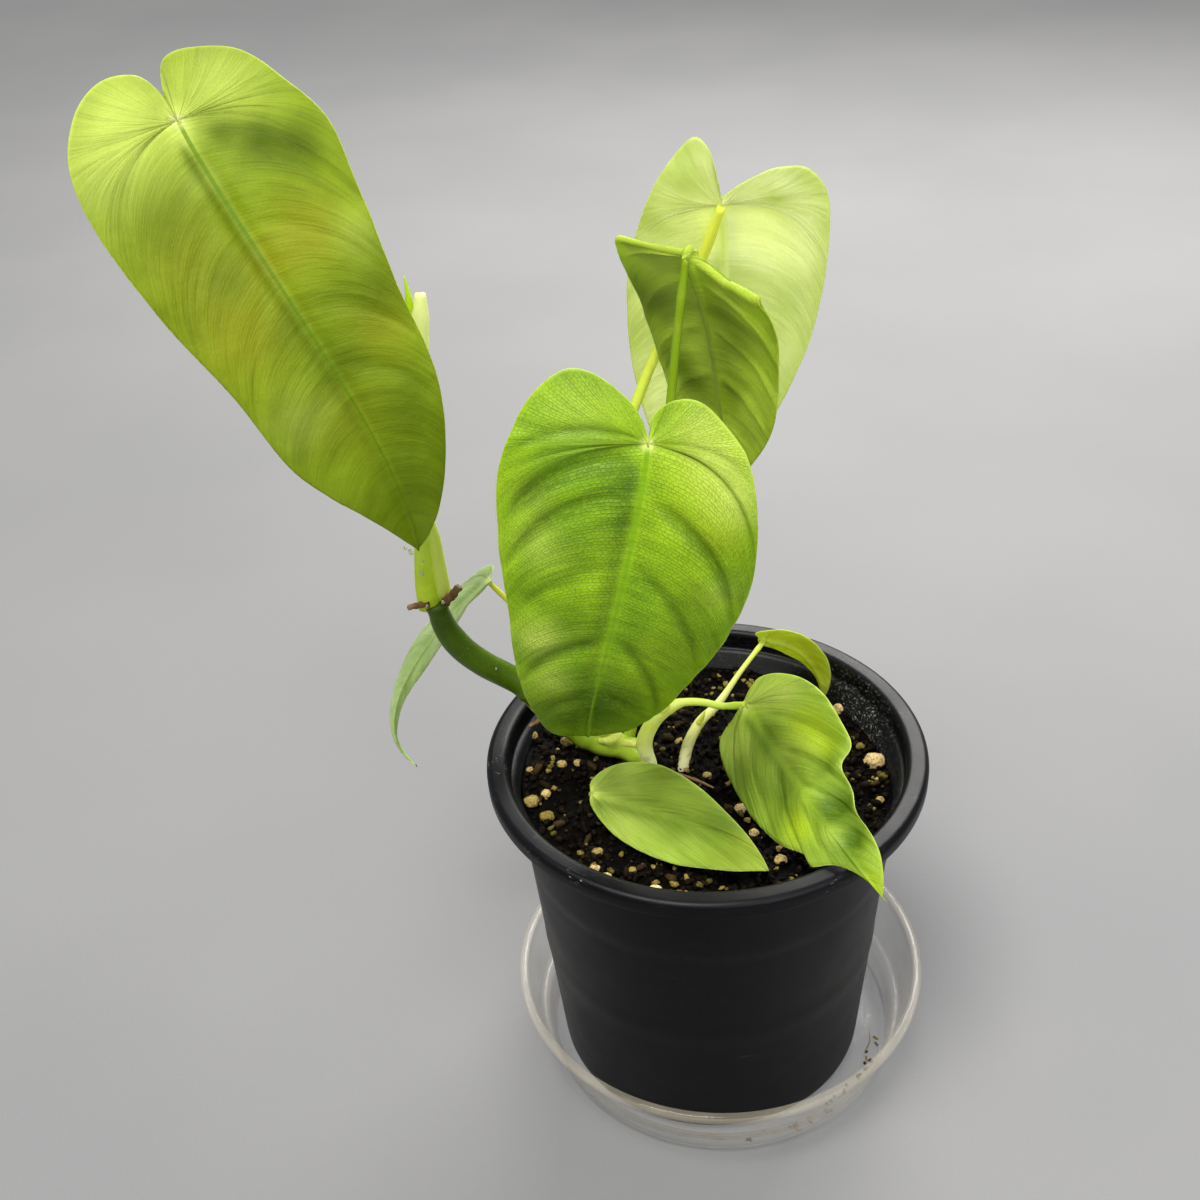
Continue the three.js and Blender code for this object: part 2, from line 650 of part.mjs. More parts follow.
// Dry, split sheath scraps that stand round the old end of the stem
function makePaperyScrap() {
  const points = [];
  const faces = [];
  const columns = 6;
  for (let column = 0; column <= columns; column += 1) {
    const share = column / columns;
    const x = -37 + 15 * share;
    const y = 2.6 - 3.2 * Math.sin(Math.PI * share);
    const foot = soilTop(x, y) + 0.6;
    points.push(new THREE.Vector3(x, y, foot));
    points.push(new THREE.Vector3(x - 0.4, y + 0.8, foot + 1.6 + 1.4 * Math.sin(Math.PI * share)));
  }
  for (let column = 0; column < columns; column += 1) {
    const low = 2 * column;
    faces.push([low, low + 2, low + 3]);
    faces.push([low, low + 3, low + 1]);
  }
  return thickSheet(points, faces, 0.5);
}

// Old leaf base: a pale strip that wraps the lower left of the stem
function makeStemSheath() {
  const curve = new THREE.CatmullRomCurve3(STEM.points.map(vec), false, "centripetal");
  const points = [];
  const faces = [];
  const rows = 10;
  const columns = 3;
  for (let row = 0; row <= rows; row += 1) {
    const share = 0.42 + 0.3 * (row / rows);
    const along = curve.getTangentAt(share);
    const toViewer = new THREE.Vector3(0, -1, 0);
    const below = along.clone().cross(toViewer).normalize();
    const near = below.clone().cross(along).normalize();
    if (below.z > 0) {
      below.negate();
    }
    if (near.y > 0) {
      near.negate();
    }
    const width = 75 * Math.sin(Math.PI * (0.12 + 0.8 * (row / rows)));
    for (let column = 0; column <= columns; column += 1) {
      const angle = THREE.MathUtils.degToRad(-32 + width * (column / columns - 0.35));
      const radius = STEM_RADIUS + GAP + 0.35;
      const point = curve.getPointAt(share);
      point.addScaledVector(below, Math.cos(angle) * radius);
      point.addScaledVector(near, Math.sin(angle) * radius);
      points.push(point);
    }
  }
  for (let row = 0; row < rows; row += 1) {
    for (let column = 0; column < columns; column += 1) {
      const a = row * (columns + 1) + column;
      const b = a + columns + 1;
      faces.push([a, b, b + 1]);
      faces.push([a, b + 1, a + 1]);
    }
  }
  return thickSheet(points, faces, 0.6);
}

// Stalks with their upper ends led to their blades
for (const [name, stalk] of Object.entries(STALKS)) {
  const reach = stalk.reach ?? BLADE_THICKNESS / 2 + GAP + 0.8 * stalk.radii[stalk.radii.length - 1];
  stalk.points.push(jointOffset(LEAVES[name], -reach));
}

const stemCore = shoot(STEM, GAP);
const stones = STONES.map((stone, order) => makeStone(stone, order));

addPiece("saucer", makeSaucer(), "saucer");
addPiece("pot", makePot(), "pot");
addPiece("main_stem", shoot(STEM), "stem");
addPiece("stem_sheath", cut(makeStemSheath(), [shoot(STALKS.back_pale, GAP)]), "sheath");
addPiece("papery_scrap", makePaperyScrap(), "bark");
addPiece("dry_fibre", shoot(FIBRE), "bark");
addPiece("new_leaf", cut(shoot(NEW_LEAF), [stemCore]), "newLeaf");
addPiece("cataphyll", cut(shoot(CATAPHYLL), [
  stemCore, shoot(STALKS.upper_left, GAP), shoot(NEW_LEAF, GAP),
]), "sheath");

for (const [name, stalk] of Object.entries(STALKS)) {
  const tools = name === "upper_left" ? [stemCore, shoot(NEW_LEAF, GAP)] : [stemCore];
  addPiece(`petiole_${name}`, cut(shoot(stalk), tools), "petiole");
}
for (const [name, leaf] of Object.entries(LEAVES)) {
  const { points, faces } = bladeSheet(leaf, leaf.rows, leaf.columns);
  addPiece(`blade_${name}`, thickSheet(points, faces, BLADE_THICKNESS), "blade");
}
for (const [name, root] of Object.entries(ROOTS)) {
  const tools = [stemCore, shoot(CATAPHYLL, GAP), shoot(STALKS.upper_left, GAP)];
  addPiece(name, cut(shoot({ ...root, sides: 6, steps: 4 }), tools), "bark");
}
stones.forEach((stone, order) => addPiece(`pumice_${order + 1}`, stone, "pumice"));

const inSoil = ["rim", "low_front", "low_back", "hanging"].map((name) => shoot(STALKS[name], GAP));
const sockets = STONES.map((stone, order) => makeStone(stone, order, GAP));
addPiece("soil", makeSoil([stemCore, ...inSoil, ...sockets]), "soil");

export default group;
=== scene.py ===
"""Looks of a potted philodendron with heart-shaped leaves, in a nursery pot on a clear saucer.

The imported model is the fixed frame. Sizes are in millimetres and turn into metres as a mesh is made.
"""

import math

import bmesh
import bpy
import numpy as np
from mathutils import Matrix, Vector, noise


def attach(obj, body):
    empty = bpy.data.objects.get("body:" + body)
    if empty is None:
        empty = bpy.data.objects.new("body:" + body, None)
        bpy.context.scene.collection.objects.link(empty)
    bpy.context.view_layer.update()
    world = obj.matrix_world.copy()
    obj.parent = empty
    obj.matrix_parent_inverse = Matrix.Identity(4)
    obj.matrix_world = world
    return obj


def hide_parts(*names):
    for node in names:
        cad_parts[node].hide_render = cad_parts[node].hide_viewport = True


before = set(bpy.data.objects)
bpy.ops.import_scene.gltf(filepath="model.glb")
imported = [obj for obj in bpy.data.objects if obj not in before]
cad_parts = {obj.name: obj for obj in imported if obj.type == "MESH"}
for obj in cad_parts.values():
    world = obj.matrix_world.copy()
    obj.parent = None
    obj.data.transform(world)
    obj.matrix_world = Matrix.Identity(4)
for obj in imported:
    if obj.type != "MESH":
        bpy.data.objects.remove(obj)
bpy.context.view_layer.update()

MM = 0.001

# Pot
POT_LIP_RADIUS = 78.5
POT_TOP = 138.7
POT_LEDGE_HEIGHT = 131
POT_LEDGE_RADIUS = 70.6
POT_BASE_RADIUS = 58.6
POT_BASE_HEIGHT = 2.3
POT_WALL = 1.2
POT_TAPER = 0.0797
POT_LINE_HEIGHT = 101.5
POT_RING_HEIGHT = 58
DRAIN_HOLES = 8
DRAIN_HOLE_RADIUS = 4
DRAIN_CIRCLE_RADIUS = 46
LIP_MARK_SIZE = 4
LIP_TURN = 2.4
ROUND_STEPS = 192

# Rubbed places on the pot's lip as x and y, of which [-42, -66] is a painted highlight of a drop, and the
# middle and size of the dusty place inside it
LIP_MARKS = [[-74, -6], [-72, -12], [-59, -52], [-42, -66], [42, -69], [-76, 12]]
DUST_PLACE = [58, 29]
DUST_SPREAD = 15

# Saucer
SAUCER_OFFSET_X = 3.6
SAUCER_RIM_RADIUS = 78.8
SAUCER_HEIGHT = 33.5
SAUCER_FOOT_RADIUS = 66.6
SAUCER_STEP_HEIGHT = 12
SAUCER_STEP_RADII = [69.4, 71.4]
SAUCER_SHOULDER = [68.4, 7]
SAUCER_SKIN = 0.9
SAUCER_RIB_TOP = 2.0
SAUCER_RIBS = [26, 48]
RIB_PROFILE = [(1.5, 0), (1.0, 0.35), (0.6, 0.85), (0, 1), (-0.6, 0.85), (-1.0, 0.35), (-1.5, 0)]

# Washed-out crumbs and fibres in the saucer: angles in degrees and distances from its middle
DEBRIS_COUNT = 30
DEBRIS_ANGLES = [-112, -14]
DEBRIS_RING = [61.2, 65.2]
DEBRIS_FIBRES = [
    [[-2, -60.8, 1.3], [1, -62.6, 2.2], [4.5, -63.4, 1.2]],
    [[60.5, -22, 1.3], [62.5, -18, 1.8], [63, -12.5, 1.3]],
]

# Soil
SOIL_HEIGHT = 123.5
SOIL_SLOPE_X = -0.05
SOIL_SLOPE_Y = 0.02
SOIL_LUMPS = 0.8
SOIL_GRID = (90, 240)

# Leaf blades. A grid is the rows and columns of half a blade. The streaks that run along the side veins
# have a spacing and a length in millimetres, and a detail.
BLADE_THICKNESS = 0.5
LARGE_LEAVES = ("upper_left", "front", "back_folded", "back_pale")
LARGE_GRID = (170, 36)
SMALL_GRID = (100, 24)
COLUMN_CROWDING = 1.35
OUTLINE_STEPS = 600
LOBE_ROWS = 0.36
LOBE_END = 0.22
FULL_RIB_LENGTH = 140
LINE_SPACING = 1.05
CELL_LENGTH = 1.7
STREAKS = {"broad": (9, 60, 2), "streak": (2.4, 26, 3), "hair": (0.55, 15, 1)}

# Stem
STEM_RADIUS = 4.6
SHEET_THICKNESS = 0.3
STEM_JOINTS = [0.0, 0.47, 0.72, 0.9]
FRONT_ANGLE = 1.6 * math.pi

# Light
KEY_SOFTNESS = 24
FLOOR_REACH = 80

# Photograph's view, in metres, and the focal length in pixels of a 1200 pixel wide image
IMAGE_WIDTH = 1200
FOCAL_PIXELS = 1510.1
SENSOR_WIDTH = 36
CAMERA_PLACE = Vector((0, -0.41788, 0.48519))
CAMERA_FORWARD = Vector((-0.06781, 0.82634, -0.55907))
CAMERA_UP = Vector((0.01883, 0.56132, 0.82738))
SCENE_MIDDLE = (-0.02, 0.0, 0.2)


# Small mathematics

def unit(vectors):
    return vectors / np.maximum(np.linalg.norm(vectors, axis=-1, keepdims=True), 1e-9)


def rise(low, high, value):
    """Smooth step from 0 at low to 1 at high."""
    share = np.clip((np.asarray(value, float) - low) / (high - low), 0, 1)
    return share * share * (3 - 2 * share)


def bell(value, centre, width):
    return np.exp(-((np.asarray(value, float) - centre) / width) ** 2)


def lengths_along(points):
    return np.r_[0, np.cumsum(np.linalg.norm(np.diff(points, axis=0), axis=1))]


def resample(points, shares):
    """Points at shares 0 to 1 of a polyline's length."""
    lengths = lengths_along(points)
    places = np.asarray(shares) * lengths[-1]
    return np.stack([np.interp(places, lengths, axis) for axis in np.asarray(points).T], axis=1)


def cubic(start, end, out, into, w):
    """Curve between two points that leaves one and reaches the other in given directions."""
    bent = (2 * start - 2 * end + out + into) * w ** 3
    return bent + (3 * end - 3 * start - 2 * out - into) * w ** 2 + out * w + start


def smooth_outline(points, shares):
    """Evenly timed curve through given points, as the margins of the leaves use."""
    points = np.asarray(points, float)
    last = len(points) - 1
    place = np.asarray(shares) * last
    index = np.minimum(place.astype(int), last - 1)
    before, start = points[np.maximum(index - 1, 0)], points[index]
    end, after = points[index + 1], points[np.minimum(index + 2, last)]
    return cubic(start, end, (end - before) / 2, (after - start) / 2, (place - index)[:, None])


def smooth_path(points, count):
    """Evenly spaced points on the rounded curve through given points in space."""
    points = np.asarray(points, float)
    points = np.vstack([2 * points[0] - points[1], points, 2 * points[-1] - points[-2]])
    w = np.linspace(0, 1, 40, endpoint=False)[:, None]
    dense = []
    for before, start, end, after in zip(points, points[1:], points[2:], points[3:]):
        sides = ((before, start), (start, end), (end, after))
        a, b, c = (math.sqrt(np.linalg.norm(q - p)) for p, q in sides)
        out = (start - before) / a - (end - before) / (a + b) + (end - start) / b
        into = (end - start) / b - (after - start) / (b + c) + (after - end) / c
        dense.append(cubic(start, end, out * b, into * b, w))
    dense.append(points[-2:-1])
    return resample(np.vstack(dense), np.linspace(0, 1, count))


def roughness_of(points, scale, octaves=4, seed=0.0):
    """Fractal noise, about -1 to 1, at each point."""
    shift = Vector((seed, 2.3 * seed, -1.7 * seed))
    return np.array([noise.fractal(Vector(p) * scale + shift, 1.0, 2.0, octaves) for p in points])


# Mesh making

def new_object(name, data):
    item = bpy.data.objects.new(name, data)
    bpy.context.scene.collection.objects.link(item)
    return item


def add_piece(name, body, material, slot, *stands_for):
    """One smooth mesh that moves with the part. Its body is points, faces and named numbers per point."""
    points, faces, values = body
    mesh = bpy.data.meshes.new(name)
    faces = [tuple(int(i) for i in face) for face in faces]
    mesh.from_pydata((np.asarray(points) * MM).tolist(), [], faces)
    for key, numbers in values.items():
        attribute = mesh.attributes.new(key, "FLOAT", "POINT")
        attribute.data.foreach_set("value", np.asarray(numbers, np.float32))
    mesh.update()
    mesh.shade_smooth()
    mesh.materials.append(material)
    piece = new_object(name, mesh)
    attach(piece, "root")
    if stands_for:
        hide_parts(*stands_for)
    return piece


def join_parts(parts):
    """Several (points, faces, values) as one."""
    points, faces, values = [], [], {}
    start = 0
    for part_points, part_faces, part_values in parts:
        points.append(part_points)
        faces.extend(tuple(i + start for i in face) for face in part_faces)
        for key, numbers in part_values.items():
            values.setdefault(key, []).append(numbers)
        start += len(part_points)
    return np.vstack(points), faces, {key: np.concatenate(lists) for key, lists in values.items()}


def grid_faces(rows, columns, wrap=False):
    """Four-sided faces of a grid of points, rows by columns."""
    faces = []
    for row in range(rows - 1):
        for column in range(columns if wrap else columns - 1):
            following = (column + 1) % columns
            low, high = row * columns, (row + 1) * columns
            faces.append((low + column, low + following, high + following, high + column))
    return faces


def capped_faces(rows, sides):
    """Faces of a stack of rings, closed by fans round the two points that follow the rings."""
    faces = grid_faces(rows, sides, wrap=True)
    first, last, top = rows * sides, rows * sides + 1, (rows - 1) * sides
    for side in range(sides):
        following = (side + 1) % sides
        faces.append((first, following, side))
        faces.append((last, top + side, top + following))
    return faces


def thicken(upper, lower, faces):
    """Closed body from the two sides of a sheet."""
    count = len(upper)
    edges = {(a, b) for face in faces for a, b in zip(face, face[1:] + face[:1])}
    under = [tuple(i + count for i in reversed(face)) for face in faces]
    rim = [(b, a, a + count, b + count) for a, b in sorted(edges) if (b, a) not in edges]
    return np.vstack([upper, lower]), [*faces, *under, *rim]


def moving_frames(centre):
    """Directions across a path that turn with it without twist."""
    tangents = unit(np.gradient(centre, axis=0))
    start = np.cross(tangents[0], (0.0, 1.0, 0.0))
    normals = [unit(start if np.linalg.norm(start) > 0.1 else np.cross(tangents[0], (1.0, 0.0, 0.0)))]
    for tangent in tangents[1:]:
        normals.append(unit(normals[-1] - tangent * np.dot(normals[-1], tangent)))
    normals = np.array(normals)
    return tangents, normals, np.cross(tangents, normals)


def tube(points, radii, sides=20, count=60, shape=None):
    """Closed round shoot. shape(share, angle) scales its radius. along is 0 at its base and 1 at its tip."""
    centre = smooth_path(points, count)
    _, normals, sideways = moving_frames(centre)
    share = np.linspace(0, 1, count)
    radius = np.interp(share, np.linspace(0, 1, len(radii)), radii)
    angle = np.arange(sides) / sides * 2 * math.pi
    size = np.repeat(radius[:, None], sides, axis=1)
    if shape:
        size = size * shape(share[:, None], angle[None, :])
    cosine, sine = np.cos(angle)[None, :, None], np.sin(angle)[None, :, None]
    out = normals[:, None] * cosine + sideways[:, None] * sine
    skin = (centre[:, None] + out * size[..., None]).reshape(-1, 3)
    values = {"along": np.r_[np.repeat(share, sides), 0, 1]}
    return np.vstack([skin, centre[0], centre[-1]]), capped_faces(count, sides), values


def turn_profile(profile, segments):
    """Points and faces of a turned body. The profile starts and ends on the axis, as [radius, height]."""
    profile = np.asarray(profile, float)
    angle = np.arange(segments) / segments * 2 * math.pi
    inner = profile[1:-1]
    heights = np.repeat(inner[:, 1:], segments, axis=1)
    ring = np.stack([inner[:, :1] * np.cos(angle), inner[:, :1] * np.sin(angle), heights], axis=-1)
    points = np.vstack([ring.reshape(-1, 3), [0, 0, profile[0, 1]], [0, 0, profile[-1, 1]]])
    return points, capped_faces(len(inner), segments)


def bend(centre, radius, start, end, count):
    """Points of a round bend in a profile, angles in degrees."""
    angles = np.radians(np.linspace(start, end, count))
    return [[centre[0] + radius * math.cos(a), centre[1] + radius * math.sin(a)] for a in angles]


# Materials

def tone(red, green, blue):
    """Colour as seen on a screen, 0 to 255, as the linear colour that a shader takes."""
    shares = (red / 255, green / 255, blue / 255)
    return (*(c / 12.92 if c <= 0.0393 else ((c + 0.055) / 1.055) ** 2.4 for c in shares), 1.0)


class Finish:
    """A node material in the making."""

    def __init__(self, name):
        self.material = bpy.data.materials.new(name)
        self.material.use_nodes = True
        self.tree = self.material.node_tree
        self.tree.nodes.clear()

    def node(self, kind, inputs=None, **settings):
        node = self.tree.nodes.new("ShaderNode" + kind)
        for key, value in settings.items():
            setattr(node, key, value)
        for key, value in (inputs or {}).items():
            if isinstance(value, bpy.types.NodeSocket):
                self.tree.links.new(value, node.inputs[key])
            else:
                node.inputs[key].default_value = value
        return node

    def value(self, name):
        return self.node("Attribute", attribute_name=name).outputs["Fac"]

    def math(self, operation, first, second=0.0, clamp=False):
        return self.node("Math", {0: first, 1: second}, operation=operation, use_clamp=clamp).outputs[0]

    def times(self, first, second):
        return self.math("MULTIPLY", first, second)

    def span(self, value, low, high, start, end):
        """Number that goes smoothly from start to end while a value goes from low to high."""
        inputs = {"Value": value, "From Min": low, "From Max": high, "To Min": start, "To Max": end}
        return self.node("MapRange", inputs, interpolation_type="SMOOTHSTEP").outputs["Result"]

    def band(self, value, low, high, most=1.0):
        return self.span(value, low, high, 0.0, most)

    def noise(self, scale, detail=3.0, roughness=0.5, distortion=0.0, stretch=(1, 1, 1)):
        place = self.node("TexCoord").outputs["Object"]
        place = self.node("Mapping", {"Vector": place, "Scale": stretch}).outputs["Vector"]
        inputs = {"Vector": place, "Scale": scale, "Detail": detail, "Roughness": roughness}
        return self.node("TexNoise", {**inputs, "Distortion": distortion}).outputs["Fac"]

    def flow_place(self, vein, reach, across_scale, along_scale):
        """Place that follows a leaf's side veins, scaled across them and along them."""
        inputs = {"X": self.times(vein, across_scale), "Y": self.times(reach, along_scale)}
        return self.node("CombineXYZ", inputs).outputs[0]

    def flow(self, vein, reach, across_scale, along_scale, detail):
        place = self.flow_place(vein, reach, across_scale, along_scale)
        inputs = {"Vector": place, "Scale": 1.0, "Detail": detail, "Roughness": 0.6, "Distortion": 0.3}
        return self.node("TexNoise", inputs).outputs["Fac"]

    def vector(self, operation, first, second):
        return self.node("VectorMath", {0: first, 1: second}, operation=operation).outputs[0]

    def flow_cells(self, vein, reach, across_scale, along_scale):
        """Lines between small cells in rows along the side veins, and a number for each cell."""
        place = self.flow_place(vein, reach, across_scale, along_scale)
        shift = self.node("TexNoise", {"Vector": place, "Scale": 0.45, "Detail": 2.0}).outputs["Color"]
        shift = self.vector("SUBTRACT", shift, (0.5, 0.5, 0.5))
        place = self.vector("ADD", place, self.vector("MULTIPLY", shift, (1.1, 2.4, 0)))
        turned = self.node("SeparateXYZ", {"Vector": place}).outputs
        place = self.node("CombineXYZ", {"X": turned["Y"], "Y": turned["X"]}).outputs[0]
        inputs = {
            "Vector": place, "Scale": 1.0, "Mortar Size": 0.16, "Mortar Smooth": 1.0, "Bias": 0.0,
            "Brick Width": 1.0, "Row Height": 1.0, "Color1": (0, 0, 0, 1), "Color2": (1, 1, 1, 1),
            "Mortar": (0.5, 0.5, 0.5, 1),
        }
        bricks = self.node("TexBrick", inputs, offset=0.37, offset_frequency=2)
        return bricks.outputs["Fac"], bricks.outputs["Color"]

    def mix(self, share, first, second):
        node = self.node("Mix", data_type="RGBA")
        for index, value in ((0, share), (6, first), (7, second)):
            if isinstance(value, bpy.types.NodeSocket):
                self.tree.links.new(value, node.inputs[index])
            else:
                node.inputs[index].default_value = value
        return node.outputs[2]

    def layers(self, color, *layers):
        """Colours laid over a first one in turn, each with its own share."""
        for share, over in layers:
            color = self.mix(share, color, over)
        return color

    def bump(self, height, distance, under=None):
        inputs = {"Height": height, "Distance": distance, "Strength": 1.0}
        if under:
            inputs["Normal"] = under
        return self.node("Bump", inputs).outputs["Normal"]

    def skin(self, color, roughness, normal=None, **constants):
        """Principled shader. Constants are set on its own sockets."""
        inputs = {"Base Color": color, "Roughness": roughness}
        if normal:
            inputs["Normal"] = normal
        node = self.node("BsdfPrincipled", inputs)
        for key, value in constants.items():
            node.inputs[key.replace("_", " ").title().replace("Ior", "IOR")].default_value = value
        return node

    def lit_through(self, skin, color, normal, share):
        """A skin that lets a share of the light through."""
        glow = self.node("BsdfTranslucent", {"Color": color, "Normal": normal})
        return self.node("MixShader", {0: share, 1: skin.outputs[0], 2: glow.outputs[0]})

    def done(self, shader):
        self.node("OutputMaterial", {"Surface": shader.outputs[0]})
        return self.material


def leaf_finish(name, look):
    """Leaf skin. The blade's values place its veins, ribs, margin, patches and under side."""
    f = Finish(name)
    vein, out, reach, across, along = (f.value(key) for key in ("vein", "out", "reach", "across", "along"))
    groove, under, warm, pale, deep = (f.value(key) for key in ("groove", "under", "warm", "pale", "deep"))

    # Cloudy mottling, streaks along the side veins, and the net of cells between the finest veins
    cloud = f.noise(look["cloud"], 3, 0.55, 0.4)
    broad, streak, hair = (f.flow(vein, reach, look["spread"] / spacing, 1 / length, detail)
                           for spacing, length, detail in STREAKS.values())
    lines, cell = f.flow_cells(vein, reach, look["spread"] / LINE_SPACING, 1 / CELL_LENGTH)
    net = f.times(lines, f.times(f.band(across, 0.7, 2.0), f.band(out, 0.99, 0.94)))
    fleck = f.noise(1500, 2, 0.6)
    mottled = f.band(cloud, 0.34, 0.66)

    # Midrib, which narrows towards the tip, and the joint with the stalk
    rib_length = f.band(along, -0.015, 0.005)
    wide = look["rib_size"] * look["rib_wide"]
    narrow = f.math("DIVIDE", across, f.span(along, 0.0, 1.0, 1.25 * wide, 0.4 * wide))
    rib = f.times(f.times(f.band(narrow, 1.0, 0.5), rib_length), look["rib_share"])
    joint = f.times(f.band(along, 0.02, 0.0), f.band(along, -0.02, 0.0))

    upper = f.layers(
        f.mix(mottled, look["light"], look["mid"]),
        (f.band(broad, 0.52, 0.72, look["streaks"]), look["deep"]),
        (f.band(broad, 0.47, 0.3, look["streaks"]), look["light"]),
        (f.band(streak, 0.5, 0.72, look["combed"]), look["deep"]),
        (f.band(streak, 0.48, 0.28, look["combed"]), look["light"]),
        (warm, look["warm"]),
        # pale and deep patches: the leaf's own tone, and painted highlights and painted shade
        (pale, look["pale"]),
        (deep, look["deep"]),
        # Painted shade darkens the sunken side veins
        (f.band(groove, 0.1, 1.0, look["groove"]), look["deep"]),
        (f.times(f.value("shadow"), 0.7), look["deep"]),
        (f.times(f.band(cell, 0.4, 1.0), look["net"] * 0.6), look["light"]),
        (f.times(net, look["net"]), look["deep"]),
        (f.band(hair, 0.5, 0.68, look["hair"]), look["deep"]),
        (f.band(hair, 0.48, 0.3, look["hair"] * 0.5), look["light"]),
        (f.band(fleck, 0.62, 0.8, 0.15), look["pale"]),
        (rib, look["rib"]),
        (f.times(f.band(across, 2.6, 0.6), joint), look["joint"]),
    )
    lower = f.layers(
        f.mix(mottled, look["under_light"], look["under_mid"]),
        (f.band(broad, 0.52, 0.72, look["streaks"]), look["under_deep"]),
        (f.band(broad, 0.47, 0.3, look["streaks"]), look["under_light"]),
        (f.band(streak, 0.5, 0.75, 0.3), look["under_deep"]),
        # pale and deep patches: the leaf's own tone, and painted highlights and painted shade
        (pale, look["under_light"]),
        (deep, look["under_deep"]),
        (f.band(groove, 0.25, 0.9, 0.6), look["under_light"]),
        (f.times(net, look["net"] * 0.5), look["under_deep"]),
        (f.band(hair, 0.5, 0.68, look["hair"] * 0.6), look["under_deep"]),
        (f.band(out, 0.72, 0.98, look["margin"]), look["under_deep"]),
        (f.times(f.band(narrow, 1.7, 0.9), rib_length), look["under_rib"]),
    )
    color = f.mix(under, upper, lower)
    color = f.mix(f.band(out, 0.985, 0.998, 0.8), color, look["edge"])
    tilt = f.bump(net, -0.0003 * look["net"])
    tilt = f.bump(hair, -0.00025 * look["hair"], tilt)
    tilt = f.bump(streak, 0.0003, tilt)
    tilt = f.bump(broad, 0.0009, tilt)
    tilt = f.bump(f.noise(260, 3, 0.5), 0.00025, tilt)
    roughness = f.span(f.noise(70, 3), 0.3, 0.7, look["gloss"], look["gloss"] + 0.12)
    skin = f.skin(color, roughness, tilt, specular_ior_level=look["shine"])
    return f.done(f.lit_through(skin, f.mix(look["tint"], color, look["glow"]), tilt, look["through"]))


def shoot_finish(name, base, body, tip, dark=None, gloss=0.38, lines=0.12, through=0.0, stain=0.0):
    """Skin of a stalk or stem that shades from its base to its tip. The tones are on a screen's scale.

    lines is the strength of the fine lines along it, and stain browns its foot.
    """
    f = Finish(name)
    base, body, tip, dark = (tone(*color) for color in (base, body, tip, dark or base))
    along = f.value("along")
    cloud = f.noise(160, 3, 0.55, 0.3)
    streak = f.noise(1.0, 3, 0.6, stretch=(1400, 1400, 60))
    fleck = f.noise(1500, 1, 0.5)
    color = f.layers(
        f.mix(f.band(along, 0.0, 0.35), base, body),
        (f.band(along, 0.55, 1.0), tip),
        (f.band(cloud, 0.45, 0.75, 0.35), dark),
        (f.band(streak, 0.5, 0.7, lines), dark),
        (f.band(fleck, 0.68, 0.78, 0.3), tip),
    )
    if stain:
        scar = f.times(f.band(f.noise(230, 4, 0.7, 0.6), 0.5, 0.62), f.band(along, 0.3, 0.02))
        color = f.mix(f.times(scar, stain), color, tone(112, 74, 36))
    tilt = f.bump(streak, 0.00012)
    roughness = f.span(cloud, 0.3, 0.7, gloss, gloss + 0.12)
    skin = f.skin(color, roughness, tilt, specular_ior_level=0.26)
    return f.done(f.lit_through(skin, color, tilt, through) if through else skin)


def grain_finish(name, colors, roughness=0.9):
    """Mineral or bark grains: each grain has its own place, 0 to 1, in a list of colours."""
    f = Finish(name)
    ramp = f.node("ValToRGB", {"Fac": f.value("shade")})
    for _ in colors[2:]:
        ramp.color_ramp.elements.new(0.5)
    for place, (element, color) in enumerate(zip(ramp.color_ramp.elements, colors)):
        element.position = place / (len(colors) - 1)
        element.color = tone(*color)
    cloud = f.noise(900, 4, 0.65)
    color = f.mix(f.band(cloud, 0.55, 0.35, 0.6), ramp.outputs["Color"], tone(38, 28, 18))
    return f.done(f.skin(color, roughness, f.bump(cloud, 0.0005), specular_ior_level=0.06))


def soil_finish():
    f = Finish("soil_mix")
    cloud = f.noise(420, 4, 0.65)
    fine = f.noise(1800, 3, 0.6)
    color = f.mix(f.band(cloud, 0.35, 0.68), tone(3, 2, 1), tone(13, 9, 5))
    color = f.mix(f.band(fine, 0.66, 0.76, 0.4), color, tone(52, 41, 28))
    tilt = f.bump(fine, 0.0006, f.bump(cloud, 0.0016))
    damp = f.span(f.noise(60, 2), 0.4, 0.65, 0.55, 0.95)
    return f.done(f.skin(color, damp, tilt, specular_ior_level=0.05))


def pot_finish():
    """Black moulded plastic with a satin grain. Its values place rub marks and one painted highlight of a
    drop on the lip, and pale dust.
    """
    f = Finish("pot_black_plastic")
    cloud = f.noise(22, 4, 0.6)
    scuff = f.noise(1.0, 4, 0.7, 0.6, stretch=(90, 90, 900))
    scratch_and_glint = f.noise(1.0, 4, 0.8, 1.2, stretch=(240, 240, 1400))
    color = f.layers(
        f.mix(f.band(cloud, 0.35, 0.7), tone(4, 4, 7), tone(8, 8, 12)),
        (f.band(scuff, 0.62, 0.72, 0.08), tone(120, 118, 112)),
        # Rub marks on the lip, and at one of them a painted highlight of a drop
        (f.times(f.band(scratch_and_glint, 0.61, 0.69), f.value("worn_and_glint")), tone(196, 196, 196)),
        (f.times(f.band(f.noise(900, 4, 0.7), 0.54, 0.7), f.value("dust")), tone(168, 166, 156)),
    )
    tilt = f.bump(f.noise(26, 3, 0.5), 0.0005, f.bump(f.noise(2400, 2, 0.6), 0.00006))
    return f.done(f.skin(color, f.span(cloud, 0.3, 0.7, 0.36, 0.46), tilt, specular_ior_level=0.15))


